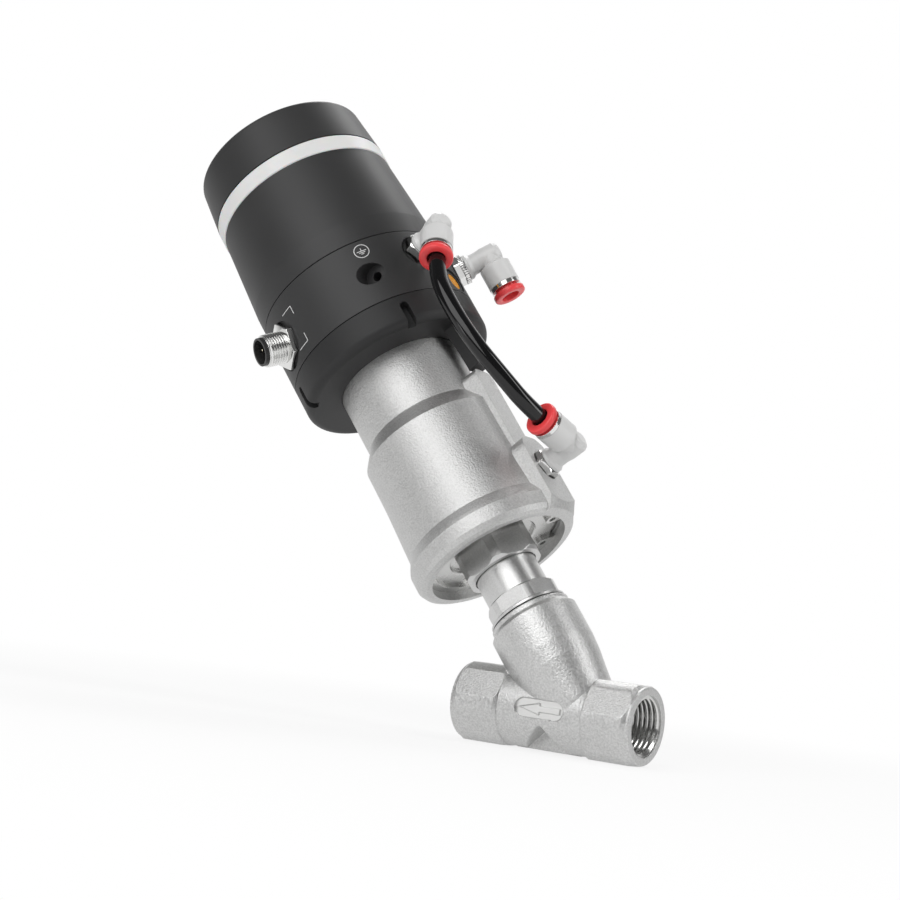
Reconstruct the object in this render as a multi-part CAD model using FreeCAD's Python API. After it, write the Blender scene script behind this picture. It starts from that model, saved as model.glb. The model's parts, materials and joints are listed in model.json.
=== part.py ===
"""Pneumatic angle-seat valve, nominal bore 15, with a control head on its piston actuator.

Two frames are used, both in millimetres.
Run frame: X runs along the pipe, the pipe axis and the actuator axis cross at the origin.
Actuator frame: Z runs up the actuator axis, X points to the inlet side, heights count from
the same crossing.
The finished parts stand in the row's frame, whose origin is the centre of the inlet face.
"""
import FreeCAD, Part
import math
import os

V = FreeCAD.Vector

# Pipe run
LEAN = 40.0                  # actuator axis from the vertical, towards the outlet
INLET_REACH = 23.5           # axis crossing to the inlet face
OUTLET_REACH = 46.5          # axis crossing to the outlet face
PORT_HEX = 27.0              # across flats of both ports
PORT_TURNED_R = 14.4         # the hexagons' corners are turned down to this
PORT_FACE_R = 13.3
INLET_HEX_LENGTH = 18.0
OUTLET_HEX_LENGTH = 18.8
PORT_CHAMFER_LENGTH = 2.4
PORT_THREAD_R = 10.48        # half of the G 1/2 major diameter
PORT_THREAD_DEPTH = 14.0
FLOW_BORE_R = 7.5
RUN_R = 13.2                 # outside of the run between the hexagons
CROTCH_X = -10.7             # top of the notch under the run, between the two hexagons
CROTCH_Z = -4.2
CROTCH_EDGE_R = 0.8
WEB_THICKNESS = 5.0
ARROW_PANEL_LENGTH = 19.0
ARROW_PANEL_HEIGHT = 6.6
ARROW_PANEL_DEPTH = 1.1
ARROW_LIFT = 0.9             # the panel's centre above the pipe axis
ARROW_LENGTH = 16.0
ARROW_HEAD_LENGTH = 8.0
ARROW_HEAD_HALF = 2.0
ARROW_TAIL_HALF = 1.0
ARROW_RELIEF = 0.5

# Bonnet chamber
CHAMBER_R = 16.1
CHAMBER_BORE_R = 12.0
CHAMBER_TOP = 41.4
CHAMBER_RIM_R = 14.65        # turned land under the bonnet's flange
CHAMBER_RIM_HEIGHT = 1.8
CHAMBER_STEP_HEIGHT = 1.6    # slope from the land out to the casting
SEAT_HEIGHT = 9.5            # sealing edge above the axis crossing
SEAT_BORE_R = 7.0
SEAT_LAND = 1.3
SEAT_MOAT = 2.0              # depth of the trough round the seat
SEAT_MOAT_R = 10.3
MOAT_TAPER = 6.5             # height over which the trough opens to the chamber's bore
OUTLET_WAY_END = 17.5        # the outlet way meets the chamber here
BONNET_THREAD_LENGTH = 11.0

# Bonnet, union nut and stem guide
BONNET_FLANGE_R = 14.1
BONNET_FLANGE_HEIGHT = 1.4
BONNET_HEX = 24.0
BONNET_HEX_HEIGHT = 6.0
BONNET_TURNED_R = 13.1
BONNET_CORNER_TURN = 11.0    # degrees that the hexagon is turned about the axis
NECK_R = 11.35
GASKET_THICKNESS = 0.5
NUT_HEX = 27.0
NUT_TURNED_R = 14.7
NUT_CHAMFER = 1.3
NECK_RISE = 18.8             # chamber's rim to the union nut's foot
NUT_BOTTOM = CHAMBER_TOP + NECK_RISE
NUT_CORNER_TURN = -6.0
WAIST_R = 9.8                # the neck's upper end, which the plate turns on
GLAND_NUT_HEX = 24.0
GLAND_NUT_HEIGHT = 4.0
STEM_R = 5.0
RUNNING_GAP = 0.04
FIT_GAP = 0.02               # between pieces that are pressed or screwed together
PACKING_R = 8.0
PACKING_HEIGHT = 3.0
PACKING_COUNT = 4
BUSH_LENGTH = 8.0
WIPER_HEIGHT = 3.0

# Actuator
ACTUATOR_TURN = 3.0          # direction of the casing's port about the actuator axis
HEAD_TURN = 5.5              # direction midway between the head's ports
RIM_RISE = 5.3               # union nut's foot to the casing's rim
RIM_BOTTOM = NUT_BOTTOM + RIM_RISE
RIM_R = 30.75
RIM_HEIGHT = 7.7
RIM_TOP = RIM_BOTTOM + RIM_HEIGHT
PLATE_RISE = 9.1             # rim's foot to the upper face of the bottom plate
PLATE_SEAT = RIM_BOTTOM + PLATE_RISE
RECESS_R = 26.0
BARREL_BOTTOM_R = 28.6
BARREL_TOP_R = 27.35
BARREL_FLARE = 4.6           # height over which the barrel meets the rim
BARREL_FOOT = RIM_TOP + BARREL_FLARE
BARREL_LENGTH = 42.3         # bottom plate to the shoulder
SHOULDER_BOTTOM = PLATE_SEAT + BARREL_LENGTH
SHOULDER_HEIGHT = 5.6
SHOULDER_TOP = SHOULDER_BOTTOM + SHOULDER_HEIGHT
NECKED_R = 23.2
NECKED_LENGTH = 31.5
CASING_TOP = SHOULDER_TOP + NECKED_LENGTH
ROOF_THICKNESS = 4.0
PISTON_BORE_R = 24.0
SPRING_BORE_R = 20.4
PLATE_THICKNESS = 4.4
PLATE_GAP = 0.06
PLATE_WELL_R = 16.4
PLATE_WELL_DEPTH = 1.6
SNAP_RING_THICKNESS = 1.3
SNAP_RING_INNER_R = 23.1
SNAP_GROOVE_DEPTH = 0.9
SNAP_GAP_TURN = 47.0
SNAP_EAR_SPREAD = 22.0       # degrees from the gap's middle to each ear
SNAP_EAR_R = 2.5
SNAP_EAR_HOLE_R = 1.2
PAD_FACE = 28.6              # flat strip along the barrel, from the axis
PAD_HALF_WIDTH = 6.6
PAD_RISE = 5.5               # strip's end above the shoulder
PAD_TOP = SHOULDER_TOP + PAD_RISE
BOSS_FACE = 32.0             # flat boss round the air port
BOSS_HALF_WIDTH = 9.0
BOSS_TURNED_R = 33.4         # the boss's lower end is turned with the rim
AIR_PORT_RISE = 8.9          # port's axis above the bottom plate
AIR_PORT_HEIGHT = PLATE_SEAT + AIR_PORT_RISE
STROKE = 10.0

# Piston group
PLUG_R = 9.6
PLUG_HEIGHT = 5.0
SEAT_SEAL_HEIGHT = 2.4
PLUG_NUT_HEX = 8.0
PLUG_NUT_HEIGHT = 3.2
PLUG_SPIGOT_R = 3.0
PISTON_THREAD_R = 4.0
PISTON_NUT_HEX = 13.0
PISTON_NUT_HEIGHT = 6.0
PISTON_REST = 13.9           # closed piston above the bottom plate
PISTON_BOTTOM = PLATE_SEAT + PISTON_REST
PISTON_HEIGHT = 9.0
PISTON_GAP = 0.08
PISTON_SEAL_SECTION = 2.6
SPRING_WIRE_R = 1.6
SPRING_TURNS = 6
SPRING_SEAT_DEPTH = 2.4
SPRING_SIDE_GAP = 1.2
SENSOR_ROD_R = 2.5
SENSOR_ROD_RISE = 22.0
SENSOR_ROD_TOP = CASING_TOP + SENSOR_ROD_RISE
TARGET_R = 4.5
TARGET_LENGTH = 8.0
SENSOR_GAP = 0.5

# Control head
HEAD_R = 36.5
HEAD_OVERHANG = 7.7          # head's foot below the casing's roof
HEAD_BOTTOM = CASING_TOP - HEAD_OVERHANG
HEAD_EDGE_FILLET = 3.0
SKIRT_LIFT = 4.5             # skirt's top above the casing's roof
SKIRT_TOP = CASING_TOP + SKIRT_LIFT
BASE_HEIGHT = 26.7
BASE_TOP = SKIRT_TOP + BASE_HEIGHT
COVER_STRAIGHT = 8.8
COVER_SHOULDER = BASE_TOP + COVER_STRAIGHT
COVER_TAPER = 2.05
COVER_TAPER_LENGTH = 33.0
COVER_TOP_R = HEAD_R - COVER_TAPER
LIGHT_BOTTOM = COVER_SHOULDER + COVER_TAPER_LENGTH
LIGHT_HEIGHT = 6.3
LIGHT_TOP = LIGHT_BOTTOM + LIGHT_HEIGHT
LIGHT_PROUD = 0.3
LIGHT_R = COVER_TOP_R + LIGHT_PROUD
CAP_HEIGHT = 19.3
CAP_TOP = LIGHT_TOP + CAP_HEIGHT
CAP_TAPER = 1.75
CAP_TOP_R = LIGHT_R - CAP_TAPER
CAP_FILLET = 1.6
SEAM_WIDTH = 0.35
SEAM_DEPTH = 0.8
HEAD_WALL = 2.8
HEAD_WELL_WALL = 11.5
HEAD_WELL_R = HEAD_R - HEAD_WELL_WALL
HEAD_WELL_DEPTH = 6.0
CENTRE_WAY_R = 8.5
SKIRT_SEAT_GAP = 0.15        # round the casing's top, which the skirt's socket takes
SKIRT_SCREW_CIRCLE_R = 16.0
SKIRT_SCREW_COUNT = 3
SKIRT_SCREW_R = 2.0
SLOT_WIDTH = 3.2
SLOT_DEPTH = 3.6
SLOT_FLOOR_R = HEAD_R - SLOT_DEPTH
SLOT_ROOF = 3.1
SLOT_TOP = SKIRT_TOP - SLOT_ROOF
SLOT_TURN = 43.0
SLOT_COUNT = 4
KEY_LIFT = 6.7               # tongue's tip above the shoulder
KEY_TIP = SHOULDER_TOP + KEY_LIFT
KEY_TIP_HALF_WIDTH = 3.6
KEY_ROOT_HALF_WIDTH = 8.5
KEY_INNER = 25.9
KEY_TIP_FACE = 30.0
KEY_ROOT_RISE = 5.2          # the tongue's root inside the skirt
KEY_ROOT_SETBACK = 0.9
KEY_ROOT_FACE = HEAD_R - KEY_ROOT_SETBACK
EARTH_OFFSET = 20.6          # the pocket stands this far beside the axis, bored square to the ports
EARTH_RISE = 12.1            # heights of the head's fittings above its skirt
EARTH_HEIGHT = SKIRT_TOP + EARTH_RISE
EARTH_POCKET_R = 4.35
EARTH_POCKET_WALL = 11.3
EARTH_POCKET_FLOOR = HEAD_R - EARTH_POCKET_WALL
EARTH_THREAD_R = 1.75
EARTH_THREAD_DEPTH = 7.0
CONNECTOR_ANGLE = -130.0
CONNECTOR_RISE = 11.5
CONNECTOR_HEIGHT = SKIRT_TOP + CONNECTOR_RISE
PORT_SPREAD = 22.5           # head ports either side of the head's direction
HEAD_PORT_RISE = 17.1
HEAD_PORT_HEIGHT = SKIRT_TOP + HEAD_PORT_RISE
SUPPLY_RISE = 15.6
SUPPLY_HEIGHT = SKIRT_TOP + SUPPLY_RISE
HEAD_PORT_SINK = 1.8
HEAD_PORT_SEAT = HEAD_R - HEAD_PORT_SINK
SUPPLY_SINK = 1.0
SUPPLY_SEAT = HEAD_R - SUPPLY_SINK
SPOT_FACE_R = 6.6
SILENCER_RISE = 5.7
SILENCER_HEIGHT = SKIRT_TOP + SILENCER_RISE
SILENCER_R = 4.0
SILENCER_LENGTH = 7.0
SILENCER_SINK = 1.6
M12_SINK = 1.2
BASE_RIM = 9.0               # wall round the base's tray
BASE_TRAY_DEPTH = 7.0
GASKET_GROOVE = 1.2
GASKET_SETBACK = 0.9
GASKET_WIDTH = 1.4
BOARD_LIFT = 8.0
BOARD_THICKNESS = 1.6
PILLAR_R = 2.2
PILLAR_COUNT = 3
PILOT_INNER_GAP = 2.5
PILOT_OUTER_GAP = 3.5
PILOT_HALF_WIDTH = 8.0
PILOT_RISE = 5.0
PILOT_COIL_R = 4.6

# Push-in elbows for a tube of 6 mm
TUBE_R = 3.0
ELBOW_HEX = 10.0
ELBOW_HEX_HEIGHT = 4.2
ELBOW_SPIGOT_R = 4.8
ELBOW_SPIGOT_LENGTH = 5.5
ELBOW_SEAL_THICKNESS = 1.0
ELBOW_ARM_HEIGHT = 14.0      # the hexagon's lower face to the tube's axis
ELBOW_REACH = 17.8           # stem axis to the release ring's face
ELBOW_R = 5.9
ELBOW_KNEE_R = 4.3
ELBOW_KNEE_END = 4.6         # the knee's flat end beyond the tube's axis
ELBOW_NECK_R = 3.9
ELBOW_COLLAR_R = 4.8
ELBOW_COLLAR_HEIGHT = 1.2
ELBOW_NECK_LENGTH = 2.6
ELBOW_KNEE_ROUND = 2.0
ELBOW_ARM_START = 3.6        # the knee swells to the arm from here, over ARM_SWELL
ELBOW_ARM_SWELL = 1.0
ELBOW_JOURNAL_R = 2.9
ELBOW_JOURNAL_LENGTH = 3.4
ELBOW_JOURNAL_GAP = 0.05
ELBOW_LIFT = 0.15            # the elbow's foot above the hexagon
ELBOW_WAY_R = 2.0
STEM_WAY_R = 1.8
SLEEVE_LENGTH = 1.6
SLEEVE_R = 5.75
RING_R = 6.1
RING_FLANGE = 2.2
RING_TUBE_R = 4.3
RING_BORE_R = 3.3
RING_TRAVEL = 1.1
RING_GUIDE_GAP = 0.25
RING_LENGTH = 7.5
SOCKET_STOP = 5.0            # tube end, from the stem axis
TURN_HEAD_PORT = -32.5       # the arms' directions about their stems
TURN_SUPPLY = 8.0
TURN_AIR_PORT = 239.5
TUBE_LEAVES_HEAD = 22.0      # first and last bends of the tube, from the elbows' stems
TUBE_LEAVES_CASING = 21.5
TUBE_BENDS = ((-81.4, -31.1, 137.1), (-69.5, -30.8, 123.6), (-57.5, -25.5, 111.2))

# M12 plug connector
M12_R = 6.0
M12_LENGTH = 10.2
M12_HEX = 16.0
M12_HEX_HEIGHT = 2.6
M12_INSERT_R = 5.2
M12_INSERT_PROUD = 1.5
M12_INSERT_FLOOR = 3.0
M12_NECK_R = 7.0
M12_NECK_LENGTH = 8.5
M12_PIN_R = 0.5
M12_PIN_CIRCLE_R = 2.6
M12_PIN_COUNT = 4


def export(shape, name):
    """Writes one node in the row's frame."""
    os.makedirs("parts", exist_ok=True)
    shape.exportStep("parts/" + name + ".step")


def in_row(shape):
    """Moves a shape from the run frame to the row's frame."""
    placed = shape.copy()
    placed.translate(V(-INLET_REACH, 0, 0))
    return placed


def leaned(shape):
    """Moves a shape from the actuator frame to the row's frame."""
    placed = shape.copy()
    placed.rotate(V(0, 0, 0), V(0, 1, 0), -LEAN)
    return in_row(placed)


def turned(outline, axis=V(0, 0, 1)):
    """Revolves a closed outline of (radius, height) pairs about an axis through the origin."""
    along_x = abs(axis.x) > 0.5
    points = [V(h, r, 0) if along_x else V(r, 0, h) for r, h in outline]
    face = Part.Face(Part.makePolygon(points + points[:1]))
    return face.revolve(V(0, 0, 0), axis, 360)


def disc(radius, bottom, top):
    return Part.makeCylinder(radius, top - bottom, V(0, 0, bottom))


def washer(outer, inner, bottom, top):
    return disc(outer, bottom, top).cut(disc(inner, bottom - 1, top + 1))


def hexagon(across_flats, bottom, top, turn=0.0):
    """Hexagonal prism along Z, with a corner on X when turn is nothing."""
    corner = across_flats / math.sqrt(3)
    points = [V(corner * math.cos(math.radians(turn + 60 * i)),
                corner * math.sin(math.radians(turn + 60 * i)), bottom) for i in range(6)]
    return Part.Face(Part.makePolygon(points + points[:1])).extrude(V(0, 0, top - bottom))


def block(x0, x1, y0, y1, z0, z1):
    return Part.makeBox(x1 - x0, y1 - y0, z1 - z0, V(x0, y0, z0))


def along_x(shape):
    """Lays a shape that was made along Z down along X."""
    laid = shape.copy()
    laid.rotate(V(0, 0, 0), V(0, 1, 0), 90)
    return laid


def turned_about(shape, angle):
    copy = shape.copy()
    copy.rotate(V(0, 0, 0), V(0, 0, 1), angle)
    return copy


def radial(shape, angle, height, distance):
    """Sets a shape made along Z so that Z points away from the actuator axis.

    Its X then points down the actuator axis, and its Y along the growing angle.
    """
    placed = shape.copy()
    placed.rotate(V(0, 0, 0), V(0, 1, 0), 90)
    placed.translate(V(distance, 0, height))
    return turned_about(placed, angle)


def rounded(solid, radius, pick):
    edges = [edge for edge in solid.Edges if pick(edge)]
    return solid.makeFillet(radius, edges) if edges else solid


def port_hexagon(inner, outer, inner_chamfer):
    """One hexagonal port between two places along X, its corners turned and its end chamfered."""
    sign = 1 if outer > inner else -1
    low, high = min(inner, outer), max(inner, outer)
    prism = along_x(hexagon(PORT_HEX, low, high, 90))
    start = outer - sign * PORT_CHAMFER_LENGTH
    outline = [(0, inner), (PORT_FACE_R + 0.2, inner), (PORT_TURNED_R, inner + sign * inner_chamfer),
               (PORT_TURNED_R, start), (PORT_FACE_R, outer - sign * 0.9),
               (PORT_FACE_R, outer - sign * 0.3), (PORT_FACE_R - 0.3, outer), (0, outer)]
    return prism.common(turned(outline, V(1, 0, 0)))


def crotch_notch():
    """V notch under the run with faces at 45 degrees; the web is added back in its middle."""
    depth = RUN_R + CROTCH_Z + 2
    points = [V(CROTCH_X, -2 * RUN_R, CROTCH_Z), V(CROTCH_X - depth, -2 * RUN_R, CROTCH_Z - depth),
              V(CROTCH_X + depth, -2 * RUN_R, CROTCH_Z - depth)]
    notch = Part.Face(Part.makePolygon(points + points[:1])).extrude(V(0, 4 * RUN_R, 0))
    def is_ridge(edge):
        return edge.BoundBox.ZMin > CROTCH_Z - 0.01
    return rounded(notch, 2 * CROTCH_EDGE_R, is_ridge)


def chamber_outside():
    """The leaning bonnet chamber: turned land at its rim, casting that narrows to the run."""
    land = CHAMBER_TOP - CHAMBER_RIM_HEIGHT
    outline = [(0, -3), (11.8, -3), (13.4, 4), (14.5, 12), (15.6, 19), (CHAMBER_R, 25),
               (CHAMBER_R, land - CHAMBER_STEP_HEIGHT), (CHAMBER_RIM_R, land),
               (CHAMBER_RIM_R, CHAMBER_TOP - 0.3), (CHAMBER_RIM_R - 0.3, CHAMBER_TOP),
               (0, CHAMBER_TOP)]
    return turned(outline)


def port_bore(face, sign):
    """Threaded bore from a port's face inwards, with the drill's cone at its end."""
    outline = [(0, face + sign), (PORT_THREAD_R, face + sign),
               (PORT_THREAD_R, face - sign * PORT_THREAD_DEPTH),
               (FLOW_BORE_R, face - sign * (PORT_THREAD_DEPTH + 1.8)),
               (0, face - sign * (PORT_THREAD_DEPTH + 1.8))]
    return turned(outline, V(1, 0, 0))


def arrow_panel():
    """Shallow stadium let into the front of the run, and the flow arrow that stands in it."""
    middle = (INLET_REACH - INLET_HEX_LENGTH - OUTLET_REACH + OUTLET_HEX_LENGTH) / 2
    radius = ARROW_PANEL_HEIGHT / 2
    half = ARROW_PANEL_LENGTH / 2 - radius
    floor = -(RUN_R - ARROW_PANEL_DEPTH)
    depth = RUN_R
    panel = block(middle - half, middle + half, floor - depth, floor,
                  ARROW_LIFT - radius, ARROW_LIFT + radius)
    for side in (-half, half):
        panel = panel.fuse(Part.makeCylinder(radius, depth, V(middle + side, floor, ARROW_LIFT),
                                             V(0, -1, 0)))
    tip = middle - ARROW_LENGTH / 2
    neck = tip + ARROW_HEAD_LENGTH
    tail = tip + ARROW_LENGTH
    points = [(tip, 0), (neck, ARROW_HEAD_HALF), (neck, ARROW_TAIL_HALF), (tail, ARROW_TAIL_HALF),
              (tail, -ARROW_TAIL_HALF), (neck, -ARROW_TAIL_HALF), (neck, -ARROW_HEAD_HALF)]
    outline = [V(x, floor, ARROW_LIFT + z) for x, z in points]
    face = Part.Face(Part.makePolygon(outline + outline[:1]))
    return panel, face.extrude(V(0, -ARROW_RELIEF, 0))


def body_hollow():
    """Flow way: inlet under the seat, up through it into the chamber, out to the outlet."""
    floor = SEAT_HEIGHT - SEAT_MOAT
    bore = turned([(0, floor), (SEAT_MOAT_R, floor), (CHAMBER_BORE_R, floor + MOAT_TAPER),
                   (CHAMBER_BORE_R, CHAMBER_TOP + 1), (0, CHAMBER_TOP + 1)])
    seat = turned([(SEAT_BORE_R, SEAT_HEIGHT - 6), (SEAT_BORE_R + 3 * SEAT_LAND, SEAT_HEIGHT - 6),
                   (SEAT_BORE_R + SEAT_LAND + 0.5, SEAT_HEIGHT - 0.8),
                   (SEAT_BORE_R + SEAT_LAND, SEAT_HEIGHT), (SEAT_BORE_R, SEAT_HEIGHT)])
    hollow = bore.cut(seat).fuse(disc(SEAT_BORE_R, 0, SEAT_HEIGHT + 1))
    hollow.rotate(V(0, 0, 0), V(0, 1, 0), -LEAN)
    inlet_way = along_x(disc(FLOW_BORE_R, 0, INLET_REACH)).fuse(Part.makeSphere(FLOW_BORE_R))
    outlet_way = along_x(disc(FLOW_BORE_R, -OUTLET_REACH, -OUTLET_WAY_END))
    return hollow.fuse([inlet_way, outlet_way, port_bore(INLET_REACH, 1),
                        port_bore(-OUTLET_REACH, -1)])


def is_notch_rim(edge):
    """Whether an edge lies on a sloping face of the notch and on the outside of the run."""
    middle = edge.valueAt((edge.FirstParameter + edge.LastParameter) / 2)
    on_face = abs(abs(middle.x - CROTCH_X) - (CROTCH_Z - middle.z)) < 0.05
    return on_face and middle.z < CROTCH_Z - 2 and edge.BoundBox.ZLength > 2


def valve_body():
    inlet_inner = INLET_REACH - INLET_HEX_LENGTH
    outlet_inner = -(OUTLET_REACH - OUTLET_HEX_LENGTH)
    chamber = chamber_outside()
    chamber.rotate(V(0, 0, 0), V(0, 1, 0), -LEAN)
    run = along_x(disc(RUN_R, outlet_inner, inlet_inner))
    body = chamber.fuse(run).cut(crotch_notch())
    body = rounded(body.removeSplitter(), CROTCH_EDGE_R, is_notch_rim)
    web = block(outlet_inner + 4, inlet_inner - 4, -WEB_THICKNESS / 2, WEB_THICKNESS / 2, -RUN_R, 0)
    body = body.fuse([web, port_hexagon(inlet_inner, INLET_REACH, 0.3),
                      port_hexagon(outlet_inner, -OUTLET_REACH, 1.2)])
    panel, arrow = arrow_panel()
    return body.cut(panel).fuse(arrow).cut(body_hollow()).removeSplitter()


def hex_bottom():
    return CHAMBER_TOP + GASKET_THICKNESS + BONNET_FLANGE_HEIGHT


def bonnet_foot():
    return CHAMBER_TOP - BONNET_THREAD_LENGTH


def plate_bottom():
    return PLATE_SEAT - PLATE_THICKNESS


def well_face():
    """Face of the plate that turns on the union nut."""
    return plate_bottom() + PLATE_WELL_DEPTH


def nut_top():
    return well_face() - RUNNING_GAP


def bonnet_top():
    return PLATE_SEAT + GLAND_NUT_HEIGHT + 3.0


def packing_floor():
    return bonnet_top() - WIPER_HEIGHT - PACKING_COUNT * PACKING_HEIGHT


def bonnet():
    """One turned piece: screwed plug, flange, hexagon, neck and the waist the actuator turns on."""
    low = hex_bottom()
    high = low + BONNET_HEX_HEIGHT
    plug = disc(CHAMBER_BORE_R - FIT_GAP, bonnet_foot(), low)
    flange = turned([(0, low - BONNET_FLANGE_HEIGHT), (BONNET_FLANGE_R, low - BONNET_FLANGE_HEIGHT),
                     (BONNET_FLANGE_R, low - 0.5), (BONNET_TURNED_R + 0.2, low), (0, low)])
    crown = hexagon(BONNET_HEX, low, high, BONNET_CORNER_TURN)
    crown = crown.common(turned([(0, low), (BONNET_TURNED_R, low), (BONNET_TURNED_R, high - 0.8),
                                 (BONNET_TURNED_R - 1.0, high), (0, high)]))
    neck = disc(NECK_R, high, NUT_BOTTOM + NUT_CHAMFER)
    waist = disc(WAIST_R, NUT_BOTTOM + NUT_CHAMFER, bonnet_top())
    bore = disc(STEM_R + 0.6, bonnet_foot() - 1, bonnet_top() + 1)
    packing_box = disc(PACKING_R, packing_floor(), bonnet_top() + 1)
    bush_box = disc(PACKING_R - 1, bonnet_foot() - 1, bonnet_foot() + BUSH_LENGTH)
    tube = plug.fuse([flange, crown, neck, waist])
    return tube.cut(bore.fuse([packing_box, bush_box])).removeSplitter()


def bonnet_gasket():
    return washer(BONNET_FLANGE_R - GASKET_THICKNESS, CHAMBER_BORE_R, CHAMBER_TOP,
                  CHAMBER_TOP + GASKET_THICKNESS)


def union_nut():
    """Hexagon nut turned off at its foot; it bears on the actuator's bottom plate from below."""
    low = NUT_BOTTOM
    top = nut_top()
    shape = turned([(0, low), (NUT_TURNED_R - NUT_CHAMFER * 0.75, low),
                    (NUT_TURNED_R - 0.5, low + 0.5 * NUT_CHAMFER), (NUT_TURNED_R, low + NUT_CHAMFER),
                    (NUT_TURNED_R, top - 0.6), (NUT_TURNED_R - 0.8, top), (0, top)])
    crown = hexagon(NUT_HEX, low, top, NUT_CORNER_TURN).common(shape)
    mouth = disc(NECK_R + 0.4, low - 1, low + NUT_CHAMFER + FIT_GAP)
    return crown.cut(disc(WAIST_R + FIT_GAP, low - 1, top + 1).fuse(mouth))


def gland_nut():
    """Nut inside the air chamber that holds the plate down on the union nut."""
    low = PLATE_SEAT + RUNNING_GAP
    nut = hexagon(GLAND_NUT_HEX, low, low + GLAND_NUT_HEIGHT)
    return nut.cut(disc(WAIST_R + FIT_GAP, low - 1, low + GLAND_NUT_HEIGHT + 1))


def stem_bush():
    return washer(PACKING_R - 1 - FIT_GAP, STEM_R + RUNNING_GAP, bonnet_foot(),
                  bonnet_foot() + BUSH_LENGTH)


def packing_rings():
    """Stacked chevron rings, each with its V facing the next."""
    rings = []
    slope = 0.9
    inner = STEM_R + RUNNING_GAP
    outer = PACKING_R - FIT_GAP
    middle = (inner + outer) / 2
    for i in range(PACKING_COUNT):
        low = packing_floor() + i * PACKING_HEIGHT
        high = low + PACKING_HEIGHT
        rings.append(turned([(inner, low), (middle, low + slope), (outer, low),
                             (outer, high - slope), (middle, high - FIT_GAP),
                             (inner, high - slope)]))
    return Part.makeCompound(rings)


def stem_wiper():
    low = bonnet_top() - WIPER_HEIGHT
    return washer(PACKING_R - FIT_GAP, STEM_R + RUNNING_GAP, low, bonnet_top())


def stem():
    """Valve stem from the plug's spigot to the piston's thread."""
    low = plug_top()
    spigot = disc(PLUG_SPIGOT_R, SEAT_HEIGHT - PLUG_NUT_HEIGHT - 1.0, low)
    shank = disc(STEM_R, low, PISTON_BOTTOM)
    thread = disc(PISTON_THREAD_R, PISTON_BOTTOM, piston_top() + PISTON_NUT_HEIGHT + 1.0)
    return spigot.fuse([shank, thread])


def plug_top():
    return SEAT_HEIGHT + SEAT_SEAL_HEIGHT + PLUG_HEIGHT


def piston_top():
    return PISTON_BOTTOM + PISTON_HEIGHT


def valve_plug():
    """Disc with a skirt that holds the soft seal."""
    low = SEAT_HEIGHT + SEAT_SEAL_HEIGHT
    hole = PLUG_SPIGOT_R + FIT_GAP
    seal_r = PLUG_R - 1.2
    return turned([(hole, low), (seal_r, low), (seal_r, SEAT_HEIGHT + 0.9),
                   (PLUG_R, SEAT_HEIGHT + 0.9), (PLUG_R, low + 2.0),
                   (PLUG_R - 3.2, plug_top()), (hole, plug_top())])


def seat_seal():
    return washer(PLUG_R - 1.2 - FIT_GAP, PLUG_SPIGOT_R + FIT_GAP, SEAT_HEIGHT,
                  SEAT_HEIGHT + SEAT_SEAL_HEIGHT)


def plug_nut():
    low = SEAT_HEIGHT - PLUG_NUT_HEIGHT
    return hexagon(PLUG_NUT_HEX, low, SEAT_HEIGHT).cut(disc(PLUG_SPIGOT_R + FIT_GAP, low - 1,
                                                            SEAT_HEIGHT + 1))


def seal_band():
    """Height of the piston seal's groove floor and its lower and upper sides."""
    middle = PISTON_BOTTOM + PISTON_HEIGHT / 2 + 0.5
    half = PISTON_SEAL_SECTION / 2
    return PISTON_BORE_R - PISTON_GAP - PISTON_SEAL_SECTION, middle - half, middle + half


def piston():
    low = PISTON_BOTTOM
    high = piston_top()
    hole = PISTON_THREAD_R + FIT_GAP
    outer = PISTON_BORE_R - PISTON_GAP
    groove, seal_low, seal_high = seal_band()
    return turned([(hole, low), (9.0, low), (11.0, low + 2.0), (outer - 1.0, low + 2.0),
                   (outer, low + 2.8), (outer, seal_low), (groove, seal_low),
                   (groove, seal_high), (outer, seal_high), (outer, high), (SPRING_BORE_R, high),
                   (SPRING_BORE_R, high - SPRING_SEAT_DEPTH), (13.0, high - SPRING_SEAT_DEPTH),
                   (11.5, high), (hole, high)])


def piston_seal():
    groove, seal_low, seal_high = seal_band()
    outer = PISTON_BORE_R - FIT_GAP
    return turned([(groove + FIT_GAP, seal_low), (outer - 0.5, seal_low), (outer, seal_low + 0.6),
                   (outer, seal_high - 0.6), (outer - 0.5, seal_high),
                   (groove + FIT_GAP, seal_high)])


def piston_nut():
    low = piston_top()
    nut = hexagon(PISTON_NUT_HEX, low, low + PISTON_NUT_HEIGHT)
    return nut.cut(disc(PISTON_THREAD_R + FIT_GAP, low - 1, low + PISTON_NUT_HEIGHT + 1))


def sensor_rod():
    """Rod that carries the position sensor's target up into the head."""
    low = piston_top() + PISTON_NUT_HEIGHT + 1.0
    rod = disc(SENSOR_ROD_R, low, SENSOR_ROD_TOP)
    collar = disc(PISTON_THREAD_R, low, low + 5.0)
    target = disc(TARGET_R, SENSOR_ROD_TOP - TARGET_LENGTH, SENSOR_ROD_TOP)
    return rod.fuse([collar, target])


def actuator_spring():
    """Closing spring between the piston and the roof of the casing."""
    low = piston_top() - SPRING_SEAT_DEPTH + SPRING_WIRE_R
    high = CASING_TOP - ROOF_THICKNESS - SPRING_WIRE_R
    radius = SPRING_BORE_R - SPRING_WIRE_R - SPRING_SIDE_GAP
    pitch = (high - low) / SPRING_TURNS
    helix = Part.makeHelix(pitch, high - low, radius)
    section = Part.Wire(Part.makeCircle(SPRING_WIRE_R, V(radius, 0, 0),
                                        V(0, 2 * math.pi * radius, pitch)))
    coil = Part.Wire(helix.Edges).makePipeShell([section], True, True)
    coil.translate(V(0, 0, low))
    return coil


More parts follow.
